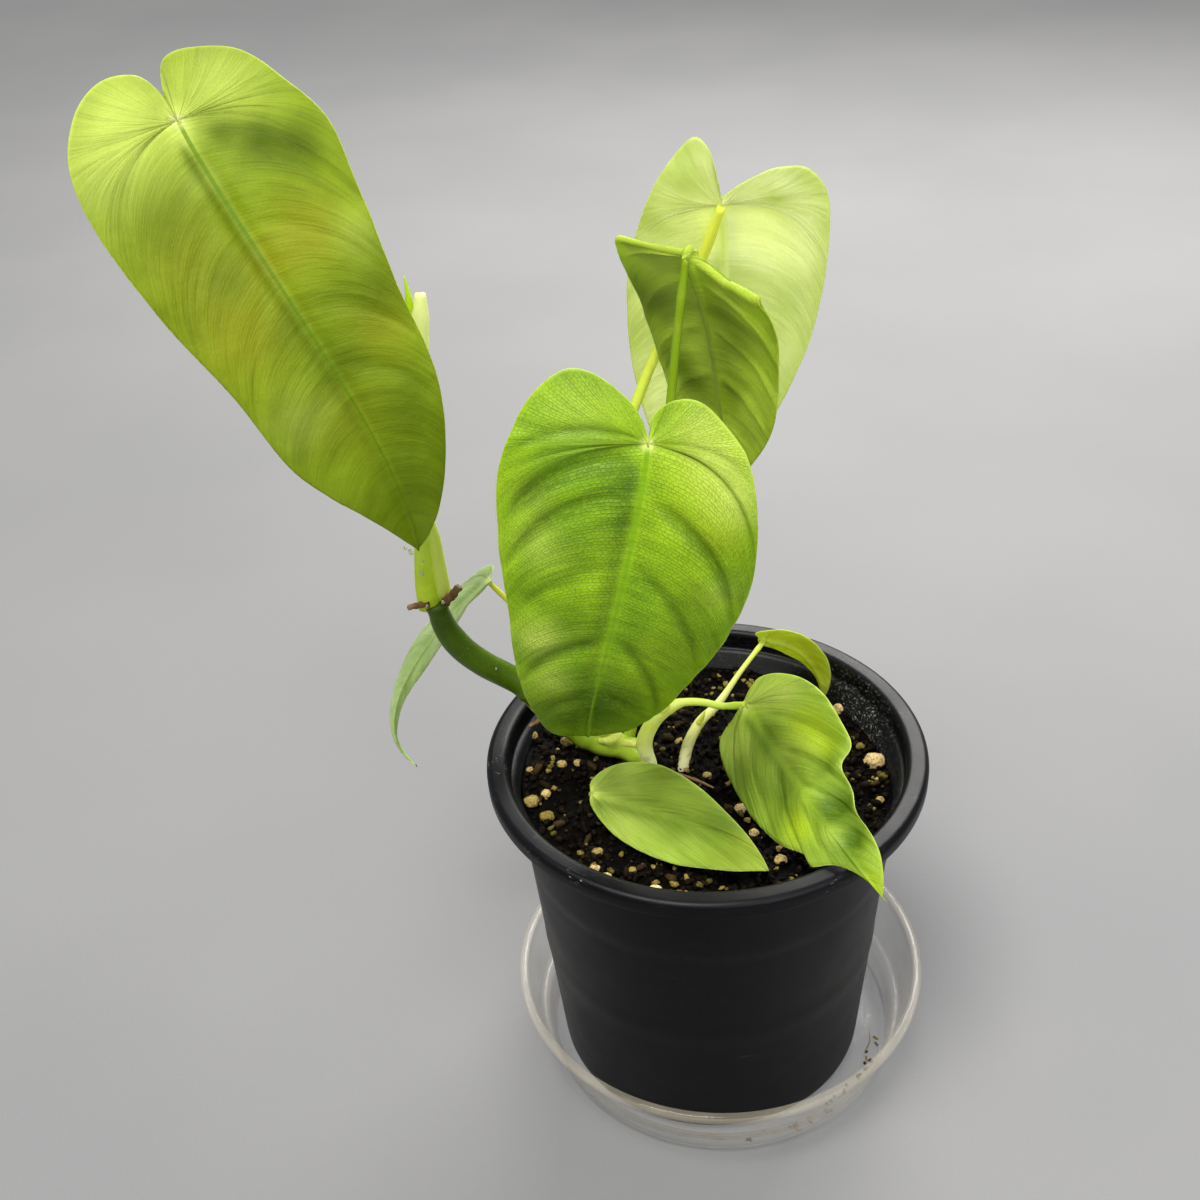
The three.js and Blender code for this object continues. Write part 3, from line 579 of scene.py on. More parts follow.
def saucer_finish():
    """Thin clear plastic: see-through face on, milky and shiny where it is seen edge on."""
    f = Finish("saucer_clear_plastic")
    edge_on = f.node("LayerWeight", {"Blend": 0.42}).outputs["Facing"]
    haze = f.noise(55, 4, 0.6)
    smear = f.noise(1.0, 4, 0.65, 0.5, stretch=(260, 260, 40))
    specks = f.band(f.noise(900, 2, 0.6), 0.70, 0.76)
    rim = f.value("rim")
    alpha = f.math("ADD", f.span(edge_on, 0.3, 1.0, 0.03, 0.38), f.band(haze, 0.45, 0.75, 0.06))
    alpha = f.math("ADD", alpha, f.times(rim, 0.1))
    alpha = f.math("ADD", alpha, f.band(smear, 0.6, 0.75, 0.08))
    alpha = f.math("ADD", alpha, f.times(specks, 0.25), clamp=True)
    color = f.mix(rim, tone(192, 186, 172), tone(206, 194, 168))
    tilt = f.bump(f.noise(34, 3, 0.5), 0.0012)
    skin = f.skin(color, 0.16, tilt, specular_ior_level=0.7, coat_weight=0.6, coat_roughness=0.05)
    f.tree.links.new(alpha, skin.inputs["Alpha"])
    return f.done(skin)


def floor_finish():
    f = Finish("studio_floor")
    color = f.mix(f.band(f.noise(3, 3, 0.5), 0.3, 0.7), tone(115, 115, 116), tone(120, 120, 120))
    tilt = f.bump(f.noise(700, 2, 0.5), 0.0001)
    return f.done(f.skin(color, 0.8, tilt, specular_ior_level=0.2))


# Leaf blades

LEAF_DEFAULTS = {
    "warm": (164, 162, 30), "pale": (222, 240, 110), "rib": (112, 156, 14), "joint": (232, 246, 130),
    "edge": (206, 224, 100), "glow": (206, 226, 10), "under_light": (168, 186, 96),
    "under_mid": (150, 170, 80), "under_deep": (116, 140, 50), "under_rib": (190, 208, 96),
    "cloud": 38, "streaks": 0.45, "combed": 0.2, "rib_share": 0.75, "rib_wide": 1.0, "groove": 0.5,
    "net": 0.2, "hair": 0.15, "margin": 0.0, "gloss": 0.42, "shine": 0.22, "through": 0.3, "tint": 0.3,
}


def leaf_look(light, mid, deep, **more):
    """Colours of a leaf as screen tones, with shares and scales. The rest are the defaults."""
    look = {**LEAF_DEFAULTS, "light": light, "mid": mid, "deep": deep, **more}
    return {key: tone(*value) if isinstance(value, tuple) else value for key, value in look.items()}


# rib, face, fold, curl and lobe values and the margins, right and left, are those of the part. A margin is
# points [along, across]. veins: main side veins as [row share at the midrib, depth, width in row share,
# drift towards the tip]. Patches are [along, across, size, amount], with across positive on the right half:
# warm is yellower, pale lighter and deep a darker green. The pale and deep patches are partly the leaf's own
# tone and partly painted highlights and painted shade. swells: raised places of the blade, as [along,
# across, size, height]. relief, channel, crest and ridge scale the sunken veins, the sunken midrib, its
# upper crest and its ridge below. slant leans the rows towards the tip, fan is where the lobe's rows end and
# flank places the midrib's shaded side. What holds for both halves stands once.
LEAVES = {
    "upper_left": {
        "rib": [[-135.5, -24, 373.3], [-112.7, -40, 330.7], [-86, -34, 280], [-90, -14, 232.5]],
        "face": [[0.45, -0.72, 0.52], [0.35, -0.93, -0.1]],
        "fold": [10, 6],
        "curl": [-0.004, -0.004],
        "lobe_bend": 0.008,
        "right": [[-3.5, 0], [-9, 0.5], [-14.5, 4.5], [-16, 14], [-11, 24], [0, 32], [15, 34.5],
                  [40, 32.5], [67, 28], [98, 25], [125, 14], [146, 4], [154, 0]],
        "left": [[-3.5, 0], [-10, 1.2], [-15.5, 5], [-15, 13], [-9.5, 24], [2, 31], [18, 36], [38, 33],
                 [65, 28], [93, 25], [120, 16], [143, 6], [154, 0]],
        "veins": {
            "left": [[0.24, 0.3, 0.02, 0], [0.38, 0.7, 0.02, 0.01], [0.43, 0.3, 0.012, 0.01],
                     [0.488, 0.45, 0.01, 0.035], [0.6, 0.35, 0.012, 0.02], [0.68, 0.6, 0.02, 0.03],
                     [0.78, 0.25, 0.015, 0.03]],
            "right": [[0.2, 0.25, 0.02, 0], [0.34, 0.3, 0.018, 0], [0.46, 0.3, 0.016, 0.03],
                      [0.57, 0.28, 0.015, 0.03], [0.69, 0.3, 0.015, 0.03], [0.8, 0.2, 0.015, 0.03]],
        },
        "warm": [[41, -14, 10, 0.7], [42, 0, 7, 0.5], [54, 16, 13, 0.7], [74, -17, 9, 0.6],
                 [30, 18, 12, 0.4], [92, 4, 12, 0.3]],
        "pale": [[-6, 12, 14, 0.9], [-4, -16, 13, 0.6], [2, 28, 12, 0.5], [16, 3, 5, 0.35],
                 [48, -26, 6, 0.3], [84, 16, 9, 0.35], [-0.5, 0, 3.5, 1.0], [5, 1.5, 3.5, 0.6]],
        "deep": [[8, -8, 4.5, 0.7], [14, -16, 6, 0.9], [20, -25, 7, 0.9], [20, 20, 9, 0.3],
                 [76, -3, 9, 0.6], [64, -22, 9, 0.5], [97, -14, 12, 0.5], [126, -4, 12, 0.6],
                 [40, 12, 7, 0.4], [62, 6, 6, 0.4]],
        "relief": 1.5,
        "look": leaf_look((156, 180, 32), (132, 154, 16), (84, 106, 0), warm=(160, 156, 24), net=0.08,
                          streaks=0.36, hair=0.14, combed=0.1, groove=0.5, joint=(244, 252, 160),
                          rib_wide=0.6, rib=(100, 138, 8)),
    },
    "front": {
        "rib": [[-14.4, -45, 285], [-18, -63, 256], [-43, -59, 178], [-38, -21, 163]],
        "relief": 1.7,
        "flank": [4.0, 2.8],
        "face": [[0, -0.84, 0.54], [0, -0.6, -0.8]],
        "fold": [6, 0],
        "curl": [-0.006, -0.016],
        "lobe_bend": 0.012,
        "right": [[-2, 0], [-8, 3], [-14, 9], [-19, 18], [-18.5, 26], [-10, 34.5], [2, 39.5],
                  [20, 41.5], [40, 37.5], [62, 31], [85, 24.6], [108, 15.4], [127, 6.4], [139, 0]],
        "left": [[-2, 0], [-8, 1], [-12.5, 6], [-13, 13], [-8, 20], [3, 29], [18, 34], [38, 36.5],
                 [60, 34], [85, 28], [108, 19], [127, 8.5], [139, 0]],
        "veins": {
            "right": [[0.13, 0.8, 0.03, 0.15], [0.31, 0.5, 0.02, 0.0], [0.378, 1.5, 0.022, 0.0],
                      [0.425, 1.2, 0.02, 0.03], [0.53, 0.6, 0.02, 0.03], [0.66, 1.1, 0.016, 0.03],
                      [0.77, 0.5, 0.016, 0.03]],
            "left": [[0.15, 0.5, 0.03, 0.1], [0.3, 0.7, 0.022, 0.05], [0.43, 1.3, 0.016, 0.05],
                     [0.525, 0.8, 0.02, 0.1], [0.645, 0.9, 0.018, 0.13], [0.76, 0.4, 0.016, 0.05]],
        },
        "warm": [[2, -18, 11, 0.35], [22, -24, 10, 0.3]],
        "pale": [[-10, 20, 12, 0.3], [-6, -14, 8, 0.5], [4, -20, 9, 0.6], [12, -27, 7, 0.6],
                 [40, -28, 6, 0.3], [68, 20, 7, 0.7], [84, 14, 6, 0.5], [36, 26, 8, 0.4],
                 [22, 30, 6, 0.3], [0, 0, 2.6, 0.7]],
        "deep": [[24, 6, 7, 0.5], [12, 6, 5, 0.4], [90, -6, 12, 0.7], [60, -22, 9, 0.4],
                 [104, 4, 14, 0.6], [44, -20, 6, 0.3], [20, 30, 7, 0.5], [34, 16, 7, 0.4],
                 [58, 12, 8, 0.4]],
        "look": leaf_look((170, 210, 28), (132, 178, 20), (54, 90, 0), warm=(190, 196, 20), gloss=0.36,
                          shine=0.32, rib=(126, 172, 24), rib_share=0.8, net=0.3, hair=0.16, streaks=0.32,
                          combed=0.16, rib_wide=0.75),
    },
    "back_folded": {
        "rib": [[-2.9, 35, 308], [8.6, 43.6, 277.8], [6.6, 48.4, 244.4], [12.3, 55, 212.7]],
        "face": [[0.65, 0.7, 0.3], [0.65, 0.7, 0.3]],
        "fold": [0, 0],
        "lobe_start": 9,
        "lobe_slope": 4,
        "lobe_bend": 0.95,
        "lobe_turn": 2.8,
        "right": [[-1.5, 0], [-4, 2], [-5.5, 6], [-2.5, 12], [4, 17], [9.5, 21], [12, 25], [17, 28.4],
                  [28, 28.6], [43, 26.4], [58, 23.5], [70, 18.5], [84, 10], [94, 3], [99, 0]],
        "left": [[-1.5, 0], [-7, 2], [-13, 8], [-14, 17], [-8, 27], [3, 34], [18, 34.5], [36, 31],
                 [52, 28], [65, 24], [80, 15], [92, 5], [99, 0]],
        "veins": {
            "right": [[0.3, 0.4, 0.02, 0.02], [0.42, 0.5, 0.018, 0.04], [0.54, 0.5, 0.018, 0.05],
                      [0.67, 0.45, 0.018, 0.05], [0.8, 0.3, 0.018, 0.05]],
            "left": [[0.28, 0.4, 0.02, 0.02], [0.42, 0.5, 0.018, 0.04], [0.54, 0.5, 0.018, 0.05],
                     [0.67, 0.45, 0.018, 0.05], [0.8, 0.3, 0.018, 0.05]],
        },
        "pale": [[5, -12, 8, 1.0], [9, -21, 9, 0.9], [40, -11, 5, 0.4], [42, 18, 7, 0.8],
                 [57, 13, 5, 0.6], [71, 3, 6, 0.9], [84, 6, 8, 0.7], [-8, 0, 10, 1.0],
                 [70, -10, 6, 0.6]],
        "deep": [[28, -30, 9, 0.6], [25, -18, 9, 0.6], [56, -12, 8, 0.8], [50, -20, 7, 0.5],
                 [22, 6, 8, 0.6], [30, 12, 6, 0.5], [52, 5, 6, 0.5], [38, 3, 6, 0.5]],
        "relief": 1.4,
        "look": leaf_look((184, 208, 66), (158, 188, 44), (92, 122, 4), under_light=(216, 236, 90),
                          under_mid=(190, 214, 58), under_deep=(106, 136, 4), under_rib=(166, 188, 70),
                          glow=(216, 234, 30), through=0.46, net=0.2, streaks=0.5),
    },
    "back_pale": {
        "rib": [[8.8, 69, 311.9], [12.4, 81, 269.6], [2.2, 88, 225.8], [-2.3, 90, 182.2]],
        "face": [[0.07, 0.96, 0.28], [0.11, 0.99, 0.03]],
        "fold": [12, 8],
        "lobe_bend": 0.01,
        "right": [[-2.5, 0], [-7, 7], [-10.5, 17], [-9, 28], [0, 34.5], [14, 36], [44, 34.3], [72, 29],
                  [96, 21], [115, 11], [127, 3], [132.4, 0]],
        "left": [[-2.5, 0], [-11, 0.5], [-20, 2.5], [-24.5, 7], [-20, 13], [-8, 22], [8, 29],
                 [30, 34.5], [55, 34], [80, 29], [102, 20], [120, 9], [129, 2], [132.4, 0]],
        "veins": [[0.2, 0.35, 0.03, 0.02], [0.34, 0.45, 0.025, 0.04], [0.47, 0.45, 0.02, 0.05],
                  [0.6, 0.4, 0.02, 0.05], [0.74, 0.35, 0.02, 0.05]],
        "pale": [[5, -6, 6, 0.8], [13, 12, 11, 1.0], [24, 24, 8, 0.6], [16, 1, 5, 0.7],
                 [-14, -14, 4, 0.7], [4, -20, 5, 0.5]],
        "deep": [[-11, -12, 6, 0.7], [8, -26, 8, 0.6], [28, 2, 8, 0.6], [40, 22, 10, 0.6],
                 [0, 18, 4, 0.6], [-4, 28, 6, 0.4], [60, -26, 12, 0.6], [90, 20, 26, 0.7],
                 [66, 6, 16, 0.5]],
        "swells": [[12, 12, 12, 2.0], [28, 4, 8, -1.6], [0, 20, 5, -1.2], [-8, -12, 6, -1.0]],
        "look": leaf_look((166, 190, 64), (148, 176, 48), (112, 142, 22), under_light=(252, 255, 214),
                          under_mid=(246, 252, 190), under_deep=(188, 212, 100), under_rib=(240, 250, 176),
                          edge=(214, 232, 116), glow=(252, 255, 180), through=0.52, tint=0.5, net=0.1,
                          streaks=0.4, combed=0.05, hair=0.15, margin=0.45),
        "relief": 0.6,
        "ridge": 0.3,
        "channel": 0.3,
        "crest": 0.2,
    },
    "rim": {
        "rib": [[14, 0, 157], [31, -19, 139.5], [37, -60, 152.5], [56, -76.5, 137.5]],
        "face": [[-0.36, -0.81, 0.46], [-0.25, -0.78, 0.58]],
        "fold": [4, 2],
        "curl": [-0.008, -0.008],
        "lobe_bend": 0.01,
        "right": [[-1, 0], [1, 6], [4, 15], [10, 19.3], [18, 21], [32, 21], [48, 17.5], [60, 11.5],
                  [65, 12], [71, 5], [80, 0.8], [89, 0]],
        "left": [[-1, 0], [-3.5, 5], [-4.5, 11], [-1, 18], [6, 23], [17, 25.7], [32, 25], [41.5, 23],
                 [45, 16.5], [53, 14.5], [62, 11], [74, 10], [82, 6.5], [89, 0]],
        "veins": {
            "right": [[0.24, 0.25, 0.02, 0.02], [0.4, 0.45, 0.018, 0.04], [0.52, 0.45, 0.018, 0.04],
                      [0.66, 0.4, 0.018, 0.04], [0.8, 0.3, 0.018, 0.02]],
            "left": [[0.24, 0.3, 0.02, 0.02], [0.38, 0.6, 0.018, 0.04], [0.5, 0.6, 0.018, 0.04],
                     [0.62, 0.5, 0.018, 0.04], [0.76, 0.35, 0.018, 0.02]],
        },
        # The warm patches on this leaf are partly a painted yellow highlight.
        "warm": [[22, -13, 8, 0.9], [33, -16, 6, 0.7], [50, 7, 7, 0.8], [84, 0, 6, 0.6],
                 [2, 0, 5, 0.6]],
        "pale": [[0, -8, 8, 0.7], [6, -16, 6, 0.5], [24, -5, 8, 0.4], [61, -1, 4, 0.3], [8, 12, 9, 0.5],
                 [0, 0, 2.5, 0.9]],
        "deep": [[57, -11, 7, 0.7], [40, -10, 5, 0.5], [68, -5, 5, 0.9], [34, 8, 8, 0.3],
                 [54, -4, 6, 0.9], [14, -2, 6, 0.5], [72, 2, 9, 0.4]],
        "swells": [[45, 0, 6, 3.0], [55, -9, 6, -3.4], [62, 3, 5, 1.3], [39, -11, 4.5, -2.2],
                   [68, -5, 5, -2.4], [28, -8, 6, 1.3], [34, -16, 4, -1.4], [20, 10, 6, 1.2],
                   [34, 10, 5, -1.4]],
        "relief": 1.7,
        "channel": 0.7,
        "crest": 0.1,
        "slant": 0.5,
        "fan": 0.4,
        "look": leaf_look((178, 210, 70), (146, 178, 52), (80, 112, 10), warm=(192, 218, 28), net=0.18,
                          hair=0.24, streaks=0.34, rib_share=0.1, combed=0.16),
    },
    "low_front": {
        "rib": [[-39.8, -24, 138.2], [-17.5, -27.7, 132.5], [5.2, -39, 134.7], [20, -57, 132.8]],
        "face": [[0.05, -0.6, 0.8], [-0.2, -0.4, 0.89]],
        "fold": [8, 8],
        "curl": [-0.004, -0.004],
        "lobe_bend": 0.01,
        "right": [[0, 0], [1, 4], [7, 9], [15, 13], [27, 15.3], [40, 14.8], [53, 11], [62, 7], [70, 0]],
        "left": [[0, 0], [-1.2, 4], [3, 10], [10, 14], [20, 16], [33, 13.5], [47, 8.5], [60, 4],
                 [70, 0]],
        "veins": [[0.3, 0.15, 0.02, 0.04], [0.46, 0.2, 0.02, 0.04], [0.64, 0.2, 0.02, 0.04]],
        "warm": [[60, 0, 9, 0.3]],
        "pale": [[0.5, 0, 2.6, 1.0], [6, 1, 3, 0.4], [14, 9, 9, 0.35], [8, -8, 8, 0.35]],
        "deep": [[46, -4, 8, 0.8], [32, 2, 7, 0.6], [58, 3, 6, 0.4]],
        "channel": 0.6,
        "crest": 0.1,
        "ridge": 0.8,
        "slant": 0.9,
        "fan": 0.62,
        "relief": 0.6,
        "look": leaf_look((164, 192, 64), (142, 170, 48), (92, 120, 14), edge=(190, 208, 104), net=0.1,
                          hair=0.3, streaks=0.34, combed=0.2, rib_share=0.1),
    },
    "low_back": {
        "rib": [[22.7, 39, 157.5], [36.3, 43, 153.6], [45.2, 45.7, 138.7], [45.6, 45, 124.6]],
        "face": [[-0.05, 0.78, 0.62], [0.94, 0.34, 0.01]],
        "fold": [0, 0],
        "lobe_bend": 0.02,
        "right": [[-1, 0], [-4, 2], [-6, 5], [-4, 9], [2, 12.5], [12, 13], [23, 10.5], [33, 6.5],
                  [41, 2], [44, 0]],
        "left": [[-1, 0], [-1.5, 1.5], [-1, 4], [1, 7], [6, 10.5], [14, 13], [24, 13], [33, 9], [41, 3],
                 [44, 0]],
        "veins": [[0.35, 0.15, 0.02, 0.04], [0.55, 0.15, 0.02, 0.04], [0.75, 0.1, 0.02, 0.04]],
        "look": leaf_look((170, 190, 60), (150, 170, 44), (104, 124, 20), under_light=(232, 240, 110),
                          under_mid=(214, 222, 90), under_deep=(170, 180, 50), glow=(230, 236, 50),
                          through=0.5, net=0.1),
    },
    "hanging": {
        "rib": [[-79, 43, 183], [-95, 45, 169], [-141, 50, 112], [-116, 44, 94]],
        "face": [[-0.67, 0, 0.74], [-0.15, -0.98, 0.13]],
        "fold": {"right": [2, -34], "left": [12, -91]},
        "lobe_bend": 0.01,
        "right": [[-1, 0], [-2, 2], [-3, 4], [-2, 7], [4, 10], [19, 10.7], [43, 9.3], [66, 6.4],
                  [85, 3.2], [98, 1], [106, 0]],
        "left": [[-1, 0], [-2, 1], [-3, 2.5], [-2, 4], [4, 5.5], [19, 6], [43, 5], [66, 3.5], [85, 1.8],
                 [98, 0.6], [106, 0]],
        "veins": [[0.5, 0.1, 0.02, 0.04]],
        "look": leaf_look((200, 218, 164), (184, 206, 146), (138, 168, 96), under_light=(228, 238, 200),
                          under_mid=(212, 228, 176), under_deep=(160, 186, 116), under_rib=(196, 216, 146),
                          rib=(170, 196, 120), edge=(200, 220, 150), net=0.1, through=0.42),
    },
}


LEAF_SLOTS = {
    "back_pale": "leaf_pale", "back_folded": "leaf_under",
    "low_back": "leaf_under", "hanging": "leaf_under",
}


def of_half(value, half):
    """Value of one half, where a leaf's halves differ."""
    return value[half] if isinstance(value, dict) else value


class Blade:
    """Middle surface of a leaf. along runs on the midrib from the stalk's joint, across goes out from it."""

    def __init__(self, leaf):
        self.leaf = leaf
        self.rib = np.array(leaf["rib"], float)
        self.shares = np.linspace(0, 1, 201)
        self.lengths = lengths_along(self.on_rib(self.shares)[0])
        self.length = self.lengths[-1]

    def on_rib(self, shares):
        a, b, c, d = self.rib
        w = np.asarray(shares, float)[..., None]
        point = (1 - w) ** 3 * a + 3 * (1 - w) ** 2 * w * b + 3 * (1 - w) * w ** 2 * c + w ** 3 * d
        along = 3 * (1 - w) ** 2 * (b - a) + 6 * (1 - w) * w * (c - b) + 3 * w ** 2 * (d - c)
        return point, unit(along)

    def frame(self, along):
        """Point, direction of the rib, of the right side and of the upper face."""
        point, ahead = self.on_rib(np.interp(along, self.lengths, self.shares))
        share = (np.asarray(along) / self.length)[..., None]
        face = unit(np.array(self.leaf["face"][0], float)), unit(np.array(self.leaf["face"][1], float))
        right = unit(np.cross(ahead, face[0] * (1 - share) + face[1] * share))
        return point, ahead, right, np.cross(right, ahead)

    def surface(self, along, across, half):
        leaf = self.leaf
        start = 0
        if half == "right":
            start = leaf.get("lobe_start", 0) * np.minimum(across / 12, 1)
            start = start + leaf.get("lobe_slope", 0) * rise(13, 26, across)
        on_rib = np.clip(along, start, self.length)
        share = on_rib / self.length
        point, ahead, right, up = self.frame(on_rib)
        fold = of_half(leaf["fold"], half)
        curl = leaf.get("curl", [0, 0])
        angle = np.radians(fold[0] + (fold[1] - fold[0]) * share)
        out, lift = arc(angle, curl[0] + (curl[1] - curl[0]) * share, across)
        behind = np.maximum(start - along, 0)
        bent = np.minimum(behind, leaf.get("lobe_turn", 9) / leaf["lobe_bend"])
        turned = leaf["lobe_bend"] * bent
        back, raised = arc(0.0, leaf["lobe_bend"], bent)
        forward = np.maximum(along - self.length, 0) - back - np.cos(turned) * (behind - bent)
        forward = forward + np.sin(turned) * lift
        raised = raised + np.sin(turned) * (behind - bent) + np.cos(turned) * lift
        sideways = out if half == "right" else -out
        return point + ahead * forward[..., None] + up * raised[..., None] + right * sideways[..., None]

    def normal(self, along, across, half):
        """Upper side's direction. Near the midrib the two halves share it."""
        step = 0.5
        here = self.surface(along, across, half)
        ahead = self.surface(along + step, across, half) - here
        out = self.surface(along, across + step, half) - here
        up = np.cross(out, ahead) if half == "right" else np.cross(ahead, out)
        shared = self.frame(np.clip(along, 0, self.length))[3]
        near = bell(across, 0, 0.8)[..., None]
        return unit(unit(up) * (1 - near) + shared * near)


def arc(angle, bent, length):
    """Distance out and height of a strip that leaves at an angle and bends evenly, in radians per mm."""
    safe = np.where(np.abs(bent) < 1e-6, 1e-6, bent)
    end = angle + safe * length
    return (np.sin(end) - np.sin(angle)) / safe, (np.cos(angle) - np.cos(end)) / safe


def vein_grid(blade, half, rows, columns):
    """Places along and across on a half blade. Rows follow its side veins, columns go to the margin."""
    outline = smooth_outline(blade.leaf[half], np.linspace(0, 1, OUTLINE_STEPS))
    places = lengths_along(outline) / lengths_along(outline)[-1]
    lobe = places[np.argmax(outline[:, 0] > blade.leaf.get("fan", LOBE_END) * blade.length)]
    slant = blade.leaf.get("slant", 0)
    row = np.linspace(0, 1, rows + 1)
    past_lobe = np.clip((row - LOBE_ROWS) / (1 - LOBE_ROWS), 0, 1)
    leaning = past_lobe * (1 + slant * (1 - past_lobe))
    end_place = np.where(row < LOBE_ROWS, lobe * row / LOBE_ROWS, lobe + (1 - lobe) * leaning)
    end = np.stack([np.interp(end_place, places, axis) for axis in outline.T], axis=1)
    root = np.stack([blade.length * past_lobe, 0 * row], axis=1)
    arched = rise(0, LOBE_ROWS, row)[:, None]
    middle = root + (end - root) * np.hstack([0.45 - (0.35 - 0.3 * slant) * arched, 0.5 + 0.25 * arched])
    out = (np.linspace(0, 1, columns + 1) ** COLUMN_CROWDING)[None, :, None]
    place = (1 - out) ** 2 * root[:, None] + 2 * out * (1 - out) * middle[:, None]
    place = place + out ** 2 * end[:, None]
    row, out = np.broadcast_arrays(row[:, None], out[..., 0])
    return place[..., 0], np.maximum(place[..., 1], 0), row, out


def vein_relief(leaf, half, row, out):
    """Depth of the sunken main side veins, in millimetres."""
    depth = np.zeros_like(row)
    for place, deep, width, drift in of_half(leaf["veins"], half):
        away = (row - place - drift * out) / width
        depth += deep * (0.6 * np.exp(-away ** 2) + 0.4 * np.exp(-np.abs(away) / 0.35))
    return leaf.get("relief", 1.1) * depth * rise(0.0, 0.22, out) * (1 - 0.7 * rise(0.7, 1.0, out))


def spots(places, along, across):
    """Soft round spots on a blade, added up. Each is [along, across, size, amount]."""
    total = np.zeros_like(along)
    for x, y, size, amount in places:
        total += amount * bell(along, x, size) * bell(across, y, size)
    return total


def half_blade(blade, half, rows, columns):
    """Grids of a half blade: points above and below, keys that the halves share at the midrib, values."""
    leaf = blade.leaf
    side = 1 if half == "right" else -1
    seed = 1.0 if half == "right" else 2.0
    along, across, row, out = vein_grid(blade, half, rows, columns)
    middle = blade.surface(along, across, half)
    normal = blade.normal(along, across, half)
    share = np.clip(along / blade.length, 0, 1)
    waves = roughness_of(middle.reshape(-1, 3), 0.035, 3, seed).reshape(row.shape)
    fine = roughness_of(middle.reshape(-1, 3), 0.16, 2, seed + 4).reshape(row.shape)

    # Heights over the middle surface: sunken side veins and midrib, its crest, waves and swells
    sunk = vein_relief(leaf, half, row, out)
    channel = bell(across, 0, 2.2 * math.sqrt(blade.length / FULL_RIB_LENGTH) + 0.6)
    channel = channel * rise(-0.02, 0.06, share) * (1 - 0.6 * share)
    crest = bell(across, 0, 1.1 * (1.2 - 0.8 * share)) * rise(-0.01, 0.02, share)
    height = -sunk - leaf.get("channel", 1.3) * channel + leaf.get("crest", 0.55) * crest
    height += (1.1 * waves * rise(0.1, 0.7, out) + 0.12 * fine) * rise(0, 0.1, out)
    height += spots(leaf.get("swells", []), along, side * across)
    skin = BLADE_THICKNESS / 2 * (1 - 0.5 * rise(0.9, 1.0, out))
    ridge = leaf.get("ridge", 1.5) * bell(across, 0, 1.2) * (1 - share) ** 0.7 + 0.35 * sunk

    steps = np.linalg.norm(np.diff(middle, axis=1), axis=-1)
    reach = np.hstack([0 * row[:, :1], np.cumsum(steps, axis=1)])
    shadow = bell(across, *leaf.get("flank", [2.4, 1.9])) * rise(0.02, 0.06, share) * (1 - share)
    # groove is the depth of the sunken side veins; it darkens the upper side's colour there as painted shade
    values = {
        "vein": row, "out": out, "reach": side * reach, "across": across, "along": along / blade.length,
        "groove": np.clip(sunk / 1.4, 0, 1), "shadow": shadow * (1.0 if half == "right" else 0.25),
    }
    for kind in ("warm", "pale", "deep"):
        values[kind] = np.clip(spots(leaf.get(kind, []), along, side * across), 0, 1)
    upper = middle + normal * (height + skin)[..., None]
    lower = middle + normal * (height - skin - ridge)[..., None]
    return upper, lower, np.stack([along, side * across], axis=-1), values


def make_blade(name, leaf, rows, columns):
    blade = Blade(leaf)
    halves = [half_blade(blade, half, rows, columns) for half in ("right", "left")]
    count = (rows + 1) * (columns + 1)
    upper, lower, keys = (np.vstack([half[part].reshape(count, -1) for half in halves])
                          for part in range(3))
    grid = grid_faces(rows + 1, columns + 1)
    faces = [face[::-1] for face in grid] + [tuple(i + count for i in face) for face in grid]

    # The two halves share the points of the midrib and of the margin's ends
    _, first, place = np.unique(np.round(keys, 3) + 0.0, axis=0, return_index=True, return_inverse=True)
    place = place.ravel()
    welded = [tuple(dict.fromkeys(int(place[i]) for i in face)) for face in faces]
    welded = [face for face in welded if len(face) > 2]
    points, closed = thicken(upper[first], lower[first], welded)
    numbers = {"under": np.repeat([0.0, 1.0], len(first))}
    for key in halves[0][3]:
        both = np.concatenate([half[3][key].ravel() for half in halves])
        numbers[key] = np.tile(both[first], 2)
    rib_size = math.sqrt(blade.length / FULL_RIB_LENGTH)
    look = {**leaf["look"], "spread": blade.length / (1 - LOBE_ROWS), "rib_size": rib_size}
    material = leaf_finish(f"leaf_{name}", look)
    node = f"blade_{name}"
    add_piece(f"{node}_fine", (points, closed, numbers), material, LEAF_SLOTS.get(name, "leaf"), node)


